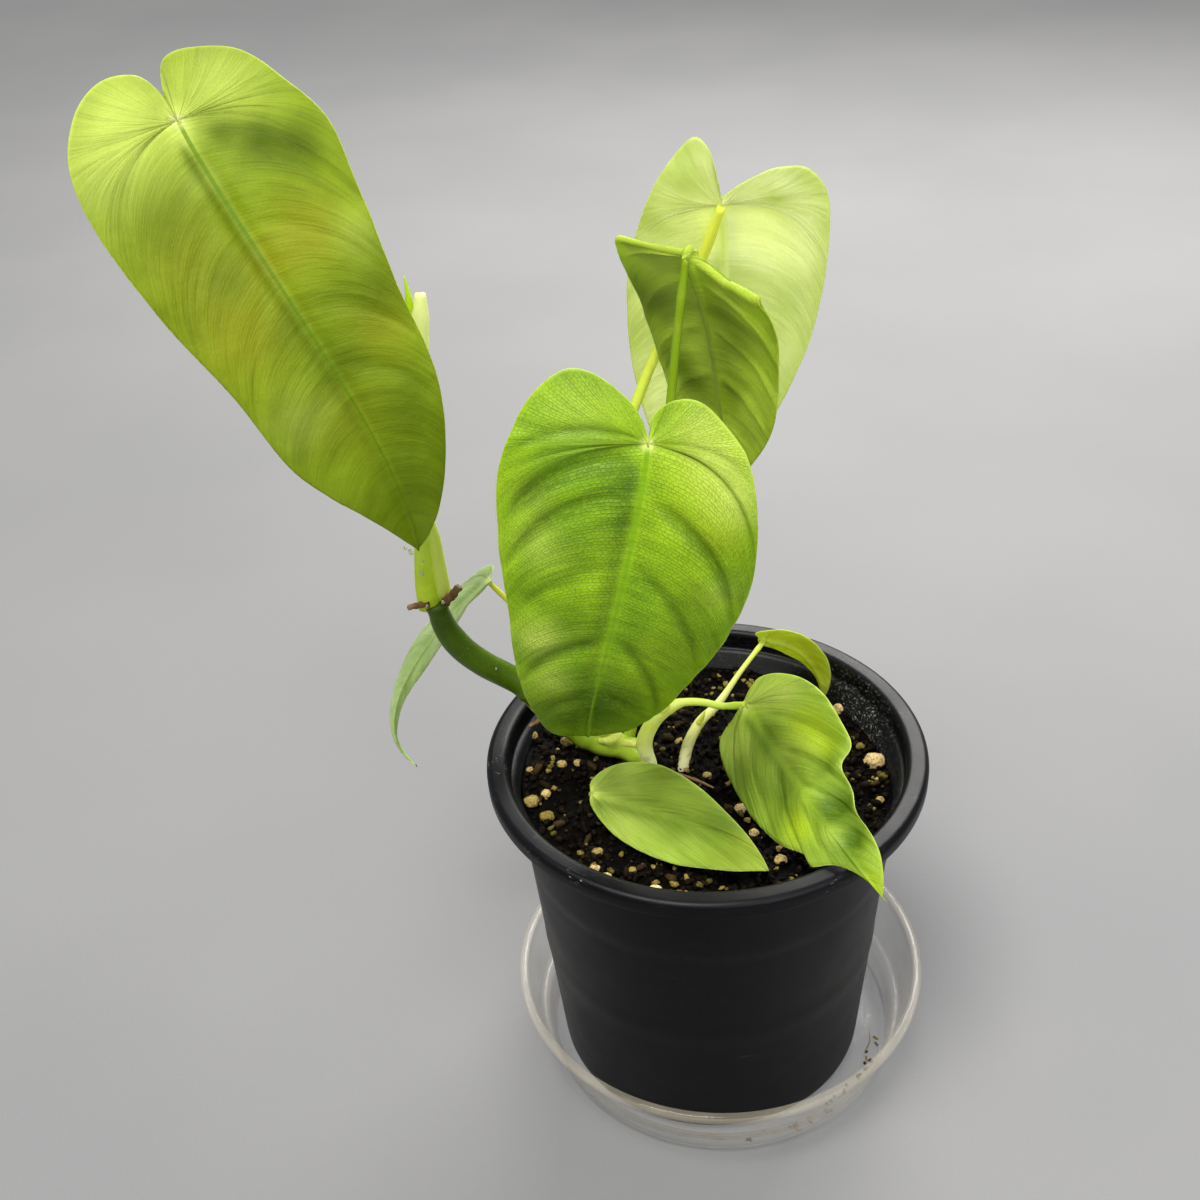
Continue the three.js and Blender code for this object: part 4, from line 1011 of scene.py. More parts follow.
# Stalks and stem. The points and radii are those of the part.
STALKS = {
    "upper_left": {
        "points": [[-89.8, 14, 196], [-90.2, 13, 211.4], [-90.9, 12, 224], [-97.2, 8, 249.5],
                   [-109.2, 0, 290.9], [-121.5, -10, 330.5], [-130.4, -19, 359]],
        "radii": [3, 2.4, 2.1, 1.9, 1.7, 1.3],
    },
    "front": {
        "points": [[-37.6, 10.5, 131.5], [-32.4, 0, 160.1], [-27.7, -10, 193], [-21.5, -25, 234.1],
                   [-16.6, -38, 266.4]],
        "radii": [2.6, 2.2, 1.9, 1.6, 1.3],
    },
    "back_folded": {
        "points": [[-28, 14, 132.8], [-23, 15, 157.3], [-17.6, 18, 189.9], [-13, 23, 227.2],
                   [-9.1, 29, 262.5], [-6.2, 32, 285.8]],
        "radii": [2.4, 2.1, 1.8, 1.5, 1.2],
    },
    "back_pale": {
        "points": [[-54.7, 18, 140.8], [-49.7, 26, 167.6], [-39.5, 43, 208], [-22.7, 63, 242.5],
                   [-15.3, 69.5, 258], [-7.9, 71.5, 271.5], [1.1, 71, 291]],
        "radii": [2.6, 2.3, 2, 1.8, 1.5],
    },
    "rim": {
        "points": [[-20.4, 7, 121], [-22.3, 8, 132.9], [-19.8, 8, 141.3], [-14.9, 7, 148.9],
                   [-8.7, 6, 153.6], [-1.6, 5, 154.7], [6.1, 4, 153.6]],
        "radii": [3.4, 3.3, 3.1, 2.9, 2.7, 2.5, 2.3, 1.45, 1.35, 1.3, 1.2, 1.2],
    },
    "low_front": {
        "points": [[-27, -18, 118], [-31, -20, 126], [-36, -22, 133]],
        "radii": [1.8, 1.5, 1.1],
    },
    "low_back": {
        "points": [[-9, 6, 118], [-8.3, 7, 123.1], [-6.4, 12, 129.3], [-1.8, 17, 136], [4.7, 22, 140.2],
                   [13.7, 30, 149.6]],
        "radii": [2.3, 2.2, 2.1, 1.9, 1.6, 1.2, 0.95, 0.9, 0.9],
    },
    "hanging": {
        "points": [[-33, 17, 118], [-39, 22, 133.6], [-48.1, 28, 143.2], [-60.5, 36, 160.7],
                   [-71, 41, 174.1]],
        "radii": [1.6, 1.4, 1.1, 0.9],
    },
}

STALK_STAINS = {"rim": 0.5, "low_back": 0.9, "low_front": 0.5, "hanging": 0.4}
STALK_TONES = {
    "upper_left": ((240, 250, 130), (208, 230, 60), (176, 202, 36)),
    "front": ((214, 230, 110), (160, 196, 40), (196, 216, 80)),
    "back_folded": ((184, 204, 70), (136, 168, 22), (144, 176, 26)),
    "back_pale": ((222, 232, 100), (214, 228, 80), (240, 244, 90)),
    "rim": ((255, 255, 196), (236, 246, 120), (200, 228, 64)),
    "low_front": ((200, 210, 110), (170, 190, 60), (170, 190, 60)),
    "low_back": ((252, 248, 200), (240, 242, 150), (214, 226, 84)),
    "hanging": ((200, 206, 90), (180, 194, 50), (220, 224, 70)),
}

STEM = {
    "points": [[-91.9, 10, 195.3], [-89.6, 10, 185.1], [-84.9, 10, 176.4], [-78, 11, 168.5],
               [-71.2, 13, 162], [-65.6, 14, 157.1], [-57.8, 13, 149], [-48.4, 11, 139.8],
               [-38.5, 10, 132.9], [-29.5, 10, 130.5], [-24, 9, 127], [-21.5, 8, 119]],
    "radii": [3.6, *[STEM_RADIUS] * 6, 4],
}
CATAPHYLL = {
    "points": [[-94.6, 12, 193.4], [-95, 12, 204], [-94.5, 11, 212.8], [-90.3, 12, 254.5],
               [-86.5, 13, 292.6], [-84.9, 13, 301.8], [-84.3, 13, 307.7]],
    "radii": [4.1, 3.7, 3.1, 2.8, 2.5, 2.4, 2.4, 2.4, 2.5, 2.7, 2.9, 3.1, 3.2, 3.15, 2.7, 1.7],
}
NEW_LEAF = {
    "points": [[-91.8, 16.5, 199], [-91.4, 16.5, 225], [-90.3, 16, 255], [-88.4, 15.5, 290],
               [-88.3, 14, 307.7], [-88.7, 14, 313.2]],
    "radii": [1.5, 1.5, 1.6, 1.6, 1.7, 1.7, 1.8, 1.8, 1.8, 1.8, 1.8, 1.8, 1.8, 1.7, 1.1, 0.15],
}
ROOTS = {
    "root_left": {"points": [[-94, 9, 196.2], [-97.5, 8, 196.4], [-101, 6, 196.6]],
                  "radii": [1.3, 1.1, 0.9]},
    "root_right": {"points": [[-88.5, 9, 196.5], [-86, 9.5, 199], [-83, 10, 202.3]],
                   "radii": [1.6, 1.5, 1.3]},
    "root_middle": {"points": [[-58, 10, 147], [-60, 8, 145], [-63.4, 7, 143.2]],
                    "radii": [0.9, 0.8, 0.5]},
}
FIBRE = {
    "points": [[-16.8, 1, 126.6], [-10, -2.4, 127.6], [-3, -4.6, 126.4], [3.2, -7, 124.7]],
    "radii": [0.5, 0.65, 0.6, 0.3],
}


def make_shoot(node, shoot, sides, count, material, slot, shape=None):
    """Round shoot in place of a node."""
    body = tube(shoot["points"], shoot["radii"], sides, count, shape)
    add_piece(f"{node}_fine", body, material, slot, node)


def make_stalk(name, stalk):
    """Stalk that runs up to its blade's joint and thickens a little where it meets it."""
    joint, _, _, up = Blade(LEAVES[name]).frame(0.0)
    stalk = {**stalk, "points": stalk["points"] + [(joint - up * 0.5).tolist()]}

    def shape(share, angle):
        knee = 1 + 0.16 * bell(share, 0.93, 0.03)
        channel = 1 - 0.12 * bell(angle, 1.5 * math.pi, 0.5) * rise(0.15, 0.3, share)
        return knee * channel

    stain = STALK_STAINS.get(name, 0)
    material = shoot_finish(f"stalk_{name}", *STALK_TONES[name], through=0.3, stain=stain)
    make_shoot(f"petiole_{name}", stalk, 22, 90, material, "petiole", shape)


def make_stem():
    def shape(share, angle):
        swell = sum(0.09 * bell(share, joint, 0.025) - 0.05 * bell(share, joint + 0.03, 0.012)
                    for joint in STEM_JOINTS)
        return 1 + swell + 0.02 * np.sin(3 * angle + 9 * share)

    material = shoot_finish("stem_skin", (62, 88, 0), (80, 110, 0), (184, 212, 60), (40, 62, 0),
                            gloss=0.32)
    make_shoot("main_stem", STEM, 32, 160, material, "stem", shape)


def make_growing_tip():
    """Rolled sheath leaf with a pale blunt top, and the bright young leaf inside it."""
    def rolled(share, angle):
        seam = 1 - (0.12 + 0.3 * rise(0.8, 1.0, share)) * bell(angle, FRONT_ANGLE, 0.3)
        return seam * (1 + 0.05 * np.sin(2 * angle))

    material = shoot_finish("sheath_leaf_skin", (222, 240, 70), (224, 240, 110), (248, 250, 186),
                            (190, 216, 50), gloss=0.4, through=0.4)
    make_shoot("cataphyll", CATAPHYLL, 34, 150, material, "sheath", rolled)
    material = shoot_finish("young_leaf_skin", (190, 220, 50), (196, 226, 30), (206, 236, 40),
                            gloss=0.35, through=0.35)
    make_shoot("new_leaf", NEW_LEAF, 16, 120, material, "new_leaf")


def make_sheet(node, middle, out, material, slot):
    """Thin sheet in place of a node, from a grid of points and the directions to its outer side."""
    rows, columns = middle.shape[:2]
    upper, lower = middle + out * SHEET_THICKNESS / 2, middle - out * SHEET_THICKNESS / 2
    points, faces = thicken(upper.reshape(-1, 3), lower.reshape(-1, 3), grid_faces(rows, columns))
    values = {"along": np.tile(np.repeat(np.linspace(0, 1, rows), columns), 2)}
    add_piece(f"{node}_fine", (points, faces, values), material, slot, node)


def make_stem_sheath():
    """Old leaf base: a pale strip that wraps the lower left of the stem."""
    rows, columns, steps = 70, 16, 400
    centre = smooth_path(STEM["points"], steps)
    row = np.linspace(0, 1, rows)
    places = (row * 0.3 + 0.42) * (steps - 1)
    middle, ahead = (np.stack([np.interp(places, np.arange(steps), axis) for axis in line.T], axis=1)
                     for line in (centre, unit(np.gradient(centre, axis=0))))
    ahead = unit(ahead)
    below = unit(np.cross(ahead, (0.0, -1.0, 0.0)))
    below = np.where(below[:, 2:] > 0, -below, below)
    near = unit(np.cross(below, ahead))
    near = np.where(near[:, 1:2] > 0, -near, near)
    width = 75 * np.sin(math.pi * (0.12 + 0.8 * row)) + 6 * np.sin(17 * row)
    angle = np.radians(-32 + width[:, None] * (np.linspace(0, 1, columns) - 0.35)[None, :])[..., None]
    out = below[:, None] * np.cos(angle) + near[:, None] * np.sin(angle)
    material = shoot_finish("old_base_skin", (226, 232, 120), (214, 222, 110), (170, 170, 80),
                            (150, 120, 60), gloss=0.5, lines=0.4, through=0.2)
    make_sheet("stem_sheath", middle[:, None] + out * (STEM_RADIUS + 0.62), out, material, "sheath")


def make_papery_scrap():
    """Dry, frayed sheath scraps round the old end of the stem."""
    row = np.linspace(0, 1, 40)[:, None]
    high = np.linspace(0, 1, 12)[None, :]
    x = -37 + 15 * row
    y = 1.6 - 3.2 * np.sin(math.pi * row)
    fray = 1 + 0.5 * np.sin(31 * row) * np.sin(12 * row + 1) + 0.25 * np.sin(73 * row)
    lift = (0.6 + 2.6 * np.sin(math.pi * row)) * fray * high
    points = np.stack([
        x - 0.5 * high + 0.3 * np.sin(9 * high + 8 * row),
        y + 0.9 * high + 0.4 * np.sin(20 * row) * high,
        soil_top(x, y) + 0.5 + lift,
    ], axis=-1)
    out = np.broadcast_to(unit(np.array([-0.15, -0.9, 0.4])), points.shape)
    material = shoot_finish("dry_sheath_skin", (150, 92, 56), (186, 130, 84), (120, 72, 44),
                            (84, 48, 28), gloss=0.65, lines=0.5, through=0.15)
    make_sheet("papery_scrap", points, out, material, "bark")


# Small leaf-like points at the tops of two stalk sheaths, and two stubs of an old stalk
SHEATH_TIPS = {
    "rim_sheath_tip": {"points": [[-15.2, 5.6, 149.5], [-13.4, 4.6, 152.6], [-12.3, 4.2, 155.4]],
                       "radii": [1.3, 1.1, 0.8, 0.1]},
    "low_back_sheath_tip": {"points": [[-2.2, 15.0, 137.2], [-0.8, 13.8, 141.2], [0.3, 13.2, 144.6]],
                            "radii": [1.2, 1.0, 0.7, 0.1]},
    "old_stub": {"points": [[-32, 8, 134], [-28.5, 7.2, 134.6], [-25.2, 6.6, 134.2]],
                 "radii": [2.2, 2.0, 1.6, 1.0]},
    "old_wedge": {"points": [[-38.5, 6.6, 136.0], [-34.5, 6.0, 137.8], [-30.2, 7.0, 139.6]],
                  "radii": [1.2, 2.6, 2.8, 1.2]},
}


def make_sheath_tips():
    def flat(share, angle):
        return 1 - 0.35 * np.abs(np.sin(angle)) + 0 * share

    pale = shoot_finish("pale_sheath_skin", (238, 248, 110), (248, 255, 128), (252, 255, 150),
                        (196, 212, 70), gloss=0.5, lines=0.15, through=0.4)
    for name, tip in SHEATH_TIPS.items():
        add_piece(name, tube(tip["points"], tip["radii"], 16, 30, flat), pale, "sheath")


# Clear drops on the plant: x, y, z and size across
DROPS = [
    [-93.7, 8, 213.8, 1], [-94.9, 8, 209.4, 1.5], [-92.5, -14, 231.8, 1.8], [-94.1, -14.2, 233.4, 1.3],
    [-73.2, 7.5, 168.9, 0.8], [-88.8, 6.8, 198.1, 1.3], [-94.5, 6.9, 196.6, 1.1],
]


def make_drops():
    f = Finish("clear_drop")
    ripple = f.bump(f.noise(900, 2, 0.5), 0.0001)
    color = f.mix(f.band(f.noise(400, 2), 0.4, 0.6), tone(250, 252, 240), tone(236, 244, 210))
    skin = f.skin(color, 0.04, ripple, transmission_weight=0.75, ior=1.33, specular_ior_level=0.8)
    points, faces = lump(3)
    parts = [(points * [size / 2, size / 2, size * 0.6] + [x, y, z], faces, {})
             for x, y, z, size in DROPS]
    add_piece("sap_drops", join_parts(parts), f.done(skin), "sheath")


def make_roots():
    def shape(share, angle):
        return 1 + 0.12 * np.sin(3 * angle + 11 * share) + 0.08 * np.sin(23 * share)

    material = shoot_finish("root_bark", (96, 66, 40), (120, 88, 58), (146, 118, 84), (60, 40, 26),
                            gloss=0.7, lines=0.4)
    for name, root in ROOTS.items():
        make_shoot(name, root, 14, 24, material, "bark", shape)
    make_shoot("dry_fibre", FIBRE, 10, 40, material, "bark")


# Pot and saucer

def pot_wall_radius(height):
    return POT_BASE_RADIUS + POT_TAPER * (height - POT_BASE_HEIGHT)


def make_pot():
    """Thin tapered wall with a fine line and a faint ring, an inner ledge, a rolled lip and a pierced base.

    Bare numbers in the profile are small steps and bends of the moulding.
    """
    neck = POT_LEDGE_HEIGHT - POT_WALL
    heights = np.linspace(POT_BASE_HEIGHT + 4, neck - 1.2, 60)
    wall = [[pot_wall_radius(height), height] for height in heights]
    for point in wall:
        point[0] += 0.35 * float(rise(POT_LINE_HEIGHT - 0.6, POT_LINE_HEIGHT + 0.6, point[1]))
        point[0] -= 0.35 * float(rise(POT_LINE_HEIGHT, neck, point[1]))
        point[0] += 0.3 * float(bell(point[1], POT_RING_HEIGHT, 5))
    profile = [
        [0, POT_BASE_HEIGHT],
        [POT_BASE_RADIUS - 2.4, POT_BASE_HEIGHT],
        *bend((POT_BASE_RADIUS - 1.9, POT_BASE_HEIGHT + 2), 2, -80, 0, 7),
        *wall,
        *bend((pot_wall_radius(neck) + 1.0, neck - 1.0), 1.0, 170, 100, 4),
        *bend((POT_LEDGE_RADIUS + POT_WALL - 1.2, neck + 1.2), 1.2, -85, 0, 5),
        [POT_LEDGE_RADIUS + POT_WALL, POT_TOP - 4.2],
        *bend((POT_LEDGE_RADIUS + POT_WALL + 1.4, POT_TOP - 3.0), 1.4, 180, 90, 5),
        *bend((POT_LIP_RADIUS - 3.2, POT_TOP - 3.4), 1.8, 90, 0, 5),
        [POT_LIP_RADIUS - 1.35, POT_TOP - 5.6],
        *bend((POT_LIP_RADIUS - 0.7, POT_TOP - 5.5), 0.65, 200, 350, 8),
        [POT_LIP_RADIUS, POT_TOP - LIP_TURN - 0.8],
        *bend((POT_LIP_RADIUS - LIP_TURN, POT_TOP - LIP_TURN), LIP_TURN, 0, 90, 10),
        [POT_LIP_RADIUS - 4.2, POT_TOP - 0.02],
        *bend((POT_LEDGE_RADIUS + LIP_TURN, POT_TOP - LIP_TURN), LIP_TURN, 90, 180, 8),
        [POT_LEDGE_RADIUS, POT_LEDGE_HEIGHT + 1],
        *bend((POT_LEDGE_RADIUS - 1, POT_LEDGE_HEIGHT + 1), 1.0, 0, -80, 4),
        [pot_wall_radius(POT_LEDGE_HEIGHT) - POT_WALL, POT_LEDGE_HEIGHT - 0.5],
        [POT_BASE_RADIUS - POT_WALL, POT_BASE_HEIGHT + 2.6],
        [POT_BASE_RADIUS - 2.8, POT_BASE_HEIGHT + POT_WALL],
        [0, POT_BASE_HEIGHT + POT_WALL],
    ]
    points, faces = turn_profile(profile, ROUND_STEPS)
    radius = np.hypot(points[:, 0], points[:, 1])
    grow = 1 + 0.0018 * roughness_of(points, 0.02, 2, 3.0) * rise(20, 60, radius)
    points[:, :2] *= np.minimum(grow, POT_LIP_RADIUS / np.maximum(radius, 1))[:, None]

    def around(place, size):
        return bell(points[:, 0], place[0], size) * bell(points[:, 1], place[1], size)

    inside = rise(POT_LEDGE_RADIUS + 1.5, POT_LEDGE_RADIUS - 0.5, radius) * rise(122, 128, points[:, 2])
    dust = inside * (0.06 + 0.75 * around(DUST_PLACE, DUST_SPREAD))
    # Rub marks on the lip; the one at [-42, -66] is a painted highlight of a drop
    worn_and_glint = sum(around(mark, LIP_MARK_SIZE) for mark in LIP_MARKS)
    worn_and_glint = worn_and_glint * rise(POT_TOP - 8, POT_TOP - 4, points[:, 2])
    values = {"worn_and_glint": worn_and_glint, "dust": dust}
    drill_base(add_piece("pot_fine", (points, faces, values), pot_finish(), "pot_plastic", "pot"))


def drill_base(pot):
    """Cuts the ring of drain holes through the pot's base."""
    points, faces = turn_profile([[0, -1], [DRAIN_HOLE_RADIUS, -1], [DRAIN_HOLE_RADIUS, 6], [0, 6]], 32)
    parts = []
    for index in range(DRAIN_HOLES):
        angle = (index + 0.5) / DRAIN_HOLES * 2 * math.pi
        middle = [DRAIN_CIRCLE_RADIUS * math.cos(angle), DRAIN_CIRCLE_RADIUS * math.sin(angle), 0]
        parts.append((points + middle, faces, {}))
    points, faces, _ = join_parts(parts)
    mesh = bpy.data.meshes.new("drain_drills")
    mesh.from_pydata((points * MM).tolist(), [], faces)
    drills = new_object("drain_drills", mesh)
    cutter = pot.modifiers.new("holes", "BOOLEAN")
    cutter.operation = "DIFFERENCE"
    cutter.object = drills
    cutter.solver = "EXACT"
    bpy.context.view_layer.update()
    evaluated = pot.evaluated_get(bpy.context.evaluated_depsgraph_get())
    drilled = bpy.data.meshes.new_from_object(evaluated)
    pot.modifiers.clear()
    pot.data = drilled
    bpy.data.objects.remove(drills, do_unlink=True)


def make_saucer():
    """Clear dish: ribbed foot, a step low on the wall, and a rolled rim."""
    step, rim, top = SAUCER_STEP_HEIGHT, SAUCER_RIM_RADIUS, SAUCER_HEIGHT
    narrow, wide = SAUCER_STEP_RADII
    low, high = [wide + 0.2, step + 0.6], [rim - 2.4, top - 2.8]
    ribs = [[radius + out, SAUCER_SKIN + (SAUCER_RIB_TOP - SAUCER_SKIN) * up]
            for radius in sorted(SAUCER_RIBS, reverse=True) for out, up in RIB_PROFILE]
    shelf = [[narrow + (wide - narrow) * s, step - 0.4 + 0.9 * s * s] for s in np.linspace(0, 1, 5)]
    wall = [[low[0] + (high[0] - low[0]) * s, low[1] + (high[1] - low[1]) * s]
            for s in np.linspace(0, 1, 16)]
    profile = [
        [0, 0],
        [SAUCER_FOOT_RADIUS - 0.6, 0],
        *bend((SAUCER_FOOT_RADIUS - 0.4, 1.5), 1.5, -80, -10, 6),
        SAUCER_SHOULDER,
        *shelf,
        *wall,
        *bend((rim - 1.9, top - 1.9), 1.9, -60, 90, 12),
        *bend((rim - 2.1, top - 1.5), 1.5, 100, 175, 6),
        *[[radius - SAUCER_SKIN, height + 0.2] for radius, height in reversed(wall[:-1])],
        [wide - 1.1, step + 0.9],
        [narrow - 0.7, step + 0.45],
        [SAUCER_SHOULDER[0] - 0.7, SAUCER_SHOULDER[1]],
        [SAUCER_FOOT_RADIUS + 0.3, 2],
        [SAUCER_FOOT_RADIUS - 0.9, SAUCER_SKIN],
        *ribs,
        [0, SAUCER_SKIN],
    ]
    points, faces = turn_profile(profile, ROUND_STEPS)
    rim_share = rise(top - 4.2, top - 2.6, points[:, 2])
    step_share = bell(points[:, 2], step + 0.3, 0.8) * 0.7
    points[:, 0] += SAUCER_OFFSET_X
    values = {"rim": np.maximum(rim_share, step_share)}
    add_piece("saucer_fine", (points, faces, values), saucer_finish(), "saucer_plastic", "saucer")


# Soil and litter

def soil_top(x, y):
    lumps = np.sin(0.21 * x + 0.5) * np.cos(0.17 * y) + 0.6 * np.sin(0.13 * x - 0.31 * y)
    return SOIL_HEIGHT + SOIL_SLOPE_X * x + SOIL_SLOPE_Y * y + SOIL_LUMPS * lumps


def make_soil():
    """Rough top and a plain body that follows the inside of the pot."""
    inside = pot_wall_radius(SOIL_HEIGHT - 4) - POT_WALL - 0.35
    rings, segments = SOIL_GRID
    angle = np.arange(segments) / segments * 2 * math.pi
    radius = inside * (np.arange(1, rings + 1) / rings) ** 0.8
    x, y = radius[:, None] * np.cos(angle), radius[:, None] * np.sin(angle)
    flat = np.stack([x, y, 0 * x], axis=-1).reshape(-1, 3)
    rough = 1.6 * roughness_of(flat, 0.16, 5, 2.0) + 0.5 * roughness_of(flat, 0.8, 3, 7.0)
    edge = rise(inside, inside - 4, np.hypot(flat[:, 0], flat[:, 1]))
    top = soil_top(flat[:, 0], flat[:, 1]) + rough * (0.4 + 0.6 * edge) - 0.5
    skin = np.stack([flat[:, 0], flat[:, 1], top], axis=1)
    low = POT_BASE_HEIGHT + POT_WALL + 0.4
    foot_radius = pot_wall_radius(low) - POT_WALL - 2.4
    foot = np.stack([foot_radius * np.cos(angle), foot_radius * np.sin(angle), 0 * angle + low], axis=1)
    points = np.vstack([skin, foot, [0, 0, float(soil_top(0, 0))], [0, 0, low]])
    faces = grid_faces(rings + 1, segments, wrap=True)
    first, last, edge_start = len(points) - 2, len(points) - 1, rings * segments
    for side in range(segments):
        following = (side + 1) % segments
        faces.append((first, side, following))
        faces.append((last, edge_start + following, edge_start + side))
    add_piece("soil_fine", (points, faces, {}), soil_finish(), "soil", "soil")


def lump(level):
    """Points and faces of a round stone with even triangles."""
    ball = bmesh.new()
    bmesh.ops.create_icosphere(ball, subdivisions=level, radius=1.0)
    points = np.array([v.co[:] for v in ball.verts])
    faces = [tuple(v.index for v in face.verts) for face in ball.faces]
    ball.free()
    return points, faces


def uneven(points, random, amount):
    """A lump's points, each moved in or out by chance."""
    return points * (1 + amount * random.standard_normal((len(points), 1)).clip(-1.5, 1.5))


def scatter(name, random, count, sizes, stretch, level, material, slot, shades=(0, 1), sink=0.2,
            edge=3.0):
    """Many small uneven grains on the soil, as one piece."""
    points, faces = lump(level)
    inside = pot_wall_radius(SOIL_HEIGHT - 4) - POT_WALL - edge
    parts = []
    for _ in range(count):
        distance = inside * math.sqrt(random.random())
        angle = random.random() * 2 * math.pi
        x, y = distance * math.cos(angle), distance * math.sin(angle)
        size = random.uniform(*sizes)
        scale = [random.uniform(*stretch), random.uniform(0.7, 1.0), random.uniform(0.5, 0.9)]
        grain = uneven(points, random, 0.22) * (size / 2 * np.array(scale))
        tilt = Matrix.Rotation(random.random() * 2 * math.pi, 3, "Z")
        tilt = tilt @ Matrix.Rotation(random.normal(0, 0.45), 3, "Y")
        place = [x, y, float(soil_top(x, y)) + size * sink]
        shade = np.full(len(points), random.uniform(*shades))
        parts.append((grain @ np.array(tilt).T + place, faces, {"shade": shade}))
    add_piece(name, join_parts(parts), material, slot)


# Pumice stones: x, y, size across and place in the colours of the grains, 0 pale to 1 dark olive
STONES = [
    [61.6, 11.4, 7.4, 0.1], [-62, -15.5, 5.4, 0.4], [-56.1, -22.4, 5, 0.6], [-51.6, 18.1, 4.2, 0.3],
    [-37.4, -39.5, 4, 0.4], [-17.6, -57.2, 5, 0.0], [12.5, -16.6, 4.8, 0.0], [24.8, -40.4, 4.2, 0.3],
    [49.4, 40.2, 5, 0.35], [42.9, -41.7, 4.4, 0.2],
]
# Smaller grains that show in the photograph, in the same terms
SMALL_STONES = [
    [-57.3, -11.1, 3.6, 0.2], [-52.6, 5.2, 3.4, 0.3], [-46.8, 6.5, 3.2, 0.35], [-64.1, 2, 3, 0.4],
    [-64.2, 20.8, 3.2, 0.2], [-38, -47.4, 3.6, 0.1], [-33.8, -50.5, 3.4, 0.2], [-7.7, -58.1, 3, 0.1],
    [-25.5, -46.9, 3.2, 0.45], [0.4, 0.8, 3.2, 0.3], [16.3, -27.5, 3.6, 0.2], [24.8, -35.4, 3, 0.4],
    [32.2, -26.3, 3.2, 0.25], [42.9, -34.7, 3.4, 0.15], [61.7, -8.9, 3, 0.3], [64.0, 1.8, 3.4, 0.8],
    [57.3, 19.1, 3.2, 0.65], [51.8, 42.2, 4.2, 0.1],
]


def make_stones(material):
    points, faces = lump(4)
    for order, (x, y, size, shade) in enumerate(STONES + SMALL_STONES):
        rough = roughness_of(points, 1.1, 4, order + 1.0)
        pits = roughness_of(points, 4.5, 2, order + 9.0)
        stone = points * (1 + 0.2 * rough - 0.09 * np.maximum(pits, 0))[:, None] * size / 2
        stone = stone * [1.05, 0.9, 0.8] + [x, y, float(soil_top(x, y)) + 0.15 * size]
        body = (stone, faces, {"shade": np.full(len(points), shade)})
        if order < len(STONES):
            node = f"pumice_{order + 1}"
            add_piece(f"{node}_fine", body, material, "pumice", node)
        else:
            add_piece(f"small_stone_{order + 1}", body, material, "pumice")


def make_litter():
    random = np.random.default_rng(11)
    stone = grain_finish("pumice_grain", [
        (230, 200, 142), (186, 164, 104), (142, 122, 60), (100, 92, 38), (58, 58, 22),
    ])
    crumbs = grain_finish("peat_crumb", [(3, 2, 1), (10, 7, 4), (24, 17, 10)], 0.85)
    bark = grain_finish("bark_bit", [(16, 12, 6), (34, 26, 13), (62, 48, 26)], 0.8)
    make_stones(stone)
    scatter("peat_crumbs", random, 1700, (1.0, 3.2), (0.9, 1.5), 1, crumbs, "soil", edge=1.4)
    scatter("bark_bits", random, 200, (1.2, 3.6), (1.0, 2.4), 1, bark, "bark", edge=2.6)
    scatter("pumice_grains", random, 300, (0.8, 2.6), (0.9, 1.3), 2, stone, "pumice", (0.4, 1.0), 0.3)


def make_saucer_debris():
    """Crumbs and two dry fibres washed out of the pot, which lie at the front right of the saucer."""
    random = np.random.default_rng(7)
    points, faces = lump(2)
    parts = []
    for _ in range(DEBRIS_COUNT):
        angle = math.radians(random.uniform(*DEBRIS_ANGLES))
        distance = random.uniform(*DEBRIS_RING)
        size = random.uniform(0.7, 2.0)
        scale = size / 2 * np.array([random.uniform(0.9, 1.8), 0.8, 0.6])
        grain = uneven(points, random, 0.2) * scale
        turn = np.array(Matrix.Rotation(random.random() * 2 * math.pi, 3, "Z"))
        across, ahead = distance * math.cos(angle), distance * math.sin(angle)
        place = [SAUCER_OFFSET_X + across, ahead, SAUCER_SKIN + 0.3 * size]
        parts.append((grain @ turn.T + place, faces, {"shade": np.full(len(points), random.random())}))
    for strand in DEBRIS_FIBRES:
        fibre, fibre_faces, _ = tube(strand, [0.25, 0.3, 0.15], 8, 24)
        parts.append((fibre, fibre_faces, {"shade": np.full(len(fibre), 0.8)}))
    material = grain_finish("washed_crumb", [(40, 30, 20), (96, 76, 48), (150, 130, 88)], 0.8)
    add_piece("saucer_crumbs", join_parts(parts), material, "bark")


# Stage, light and camera

def make_stage():
    mesh = bpy.data.meshes.new("studio_floor")
    corners = [(x * FLOOR_REACH, y * FLOOR_REACH, 0) for x, y in ((-1, -1), (1, -1), (1, 1), (-1, 1))]
    mesh.from_pydata(corners, [], [(0, 1, 2, 3)])
    mesh.materials.append(floor_finish())
    floor = new_object("studio_floor", mesh)


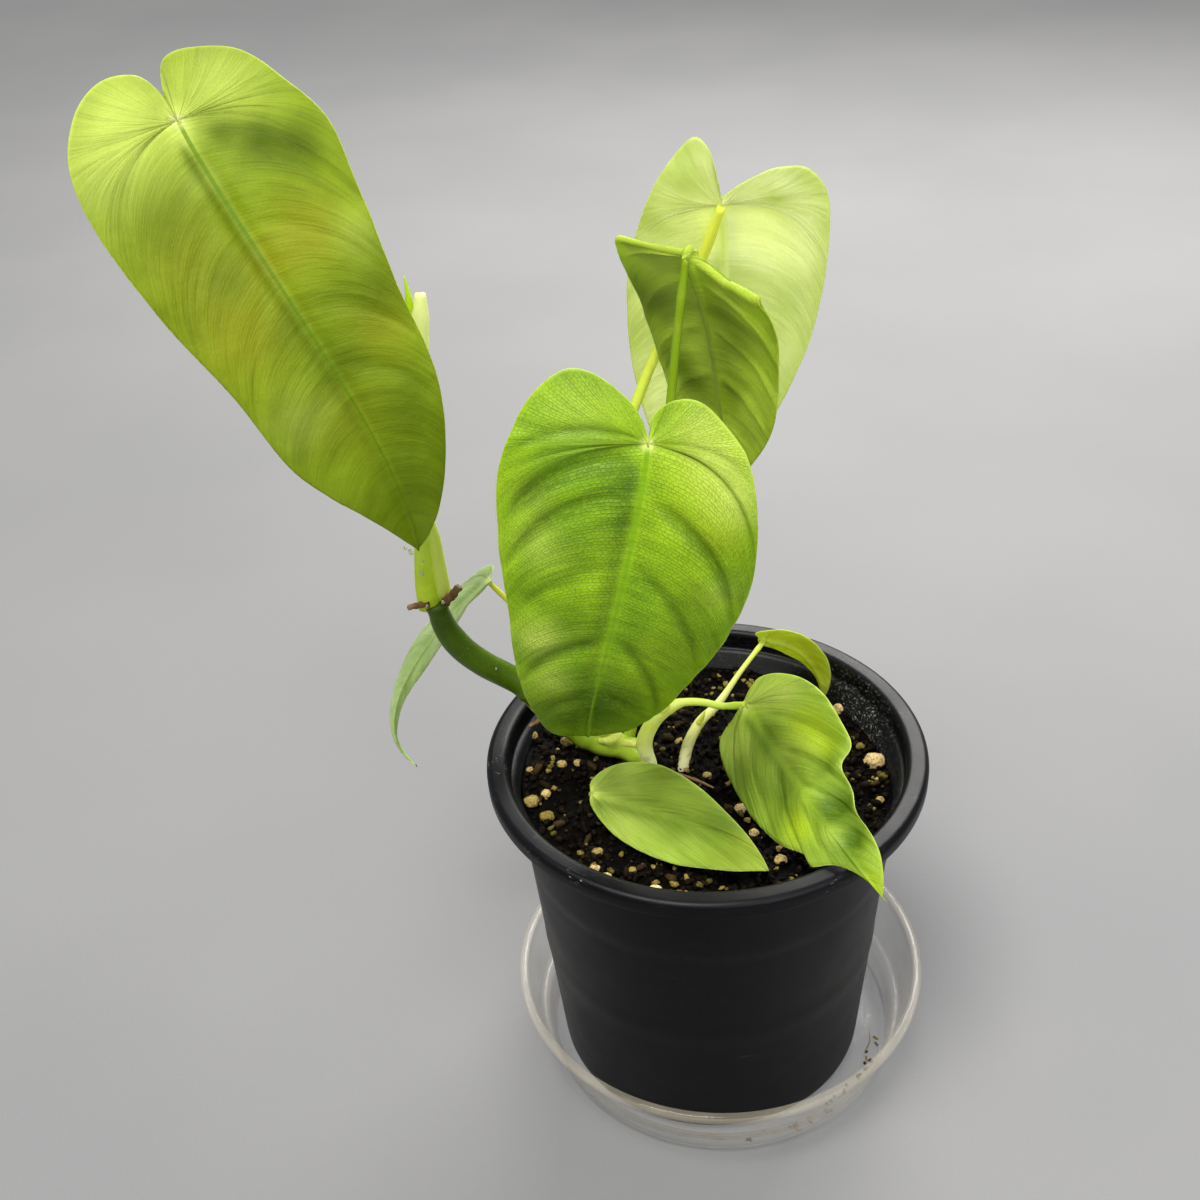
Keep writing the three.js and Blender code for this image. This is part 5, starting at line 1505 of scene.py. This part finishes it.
def add_light(name, kind, place, power, color):
    light = bpy.data.lights.new(name, kind)
    light.energy = power
    light.color = color
    lamp = new_object(name, light)
    lamp.location = place
    lamp.rotation_euler = (Vector(SCENE_MIDDLE) - Vector(place)).to_track_quat("-Z", "Y").to_euler()
    return light


def add_panel(name, place, size, power, color):
    light = add_light(name, "AREA", place, power, color)
    light.shape = "RECTANGLE"
    light.size, light.size_y = size


def make_lights():
    key = add_light("key_light", "SUN", (-0.35, -0.42, 1.58), 3.9, (1.0, 0.99, 0.96))
    key.angle = math.radians(KEY_SOFTNESS)
    add_panel("back_light", (0.3, 1.1, 1.0), (1.0, 0.6), 31, (1.0, 0.98, 0.95))
    add_panel("fill_light", (0.7, -0.9, 0.9), (1.0, 1.0), 11, (0.96, 0.98, 1.0))
    world = bpy.data.worlds.new("studio_air")
    world.use_nodes = True
    background = world.node_tree.nodes["Background"]
    background.inputs["Color"].default_value = tone(226, 228, 230)
    background.inputs["Strength"].default_value = 0.42
    bpy.context.scene.world = world


def make_camera():
    camera = bpy.data.cameras.new("photo_camera")
    camera.sensor_width = SENSOR_WIDTH
    camera.lens = FOCAL_PIXELS / IMAGE_WIDTH * SENSOR_WIDTH
    camera.clip_start = 0.01
    forward = CAMERA_FORWARD.normalized()
    right = forward.cross(CAMERA_UP).normalized()
    up = right.cross(forward)
    turned = Matrix((right, up, -forward)).transposed().to_4x4()
    eye = new_object("photo_camera", camera)
    eye.matrix_world = Matrix.Translation(CAMERA_PLACE) @ turned
    bpy.context.scene.camera = eye


bpy.context.scene.view_settings.view_transform = "Standard"
make_stage()
make_lights()
make_camera()
for leaf_name, leaf_data in LEAVES.items():
    make_blade(leaf_name, leaf_data, *(LARGE_GRID if leaf_name in LARGE_LEAVES else SMALL_GRID))
for stalk_name, stalk_data in STALKS.items():
    make_stalk(stalk_name, stalk_data)
make_stem()
make_growing_tip()
make_stem_sheath()
make_papery_scrap()
make_sheath_tips()
make_drops()
make_roots()
make_pot()
make_saucer()
make_soil()
make_litter()
make_saucer_debris()

bpy.context.view_layer.update()
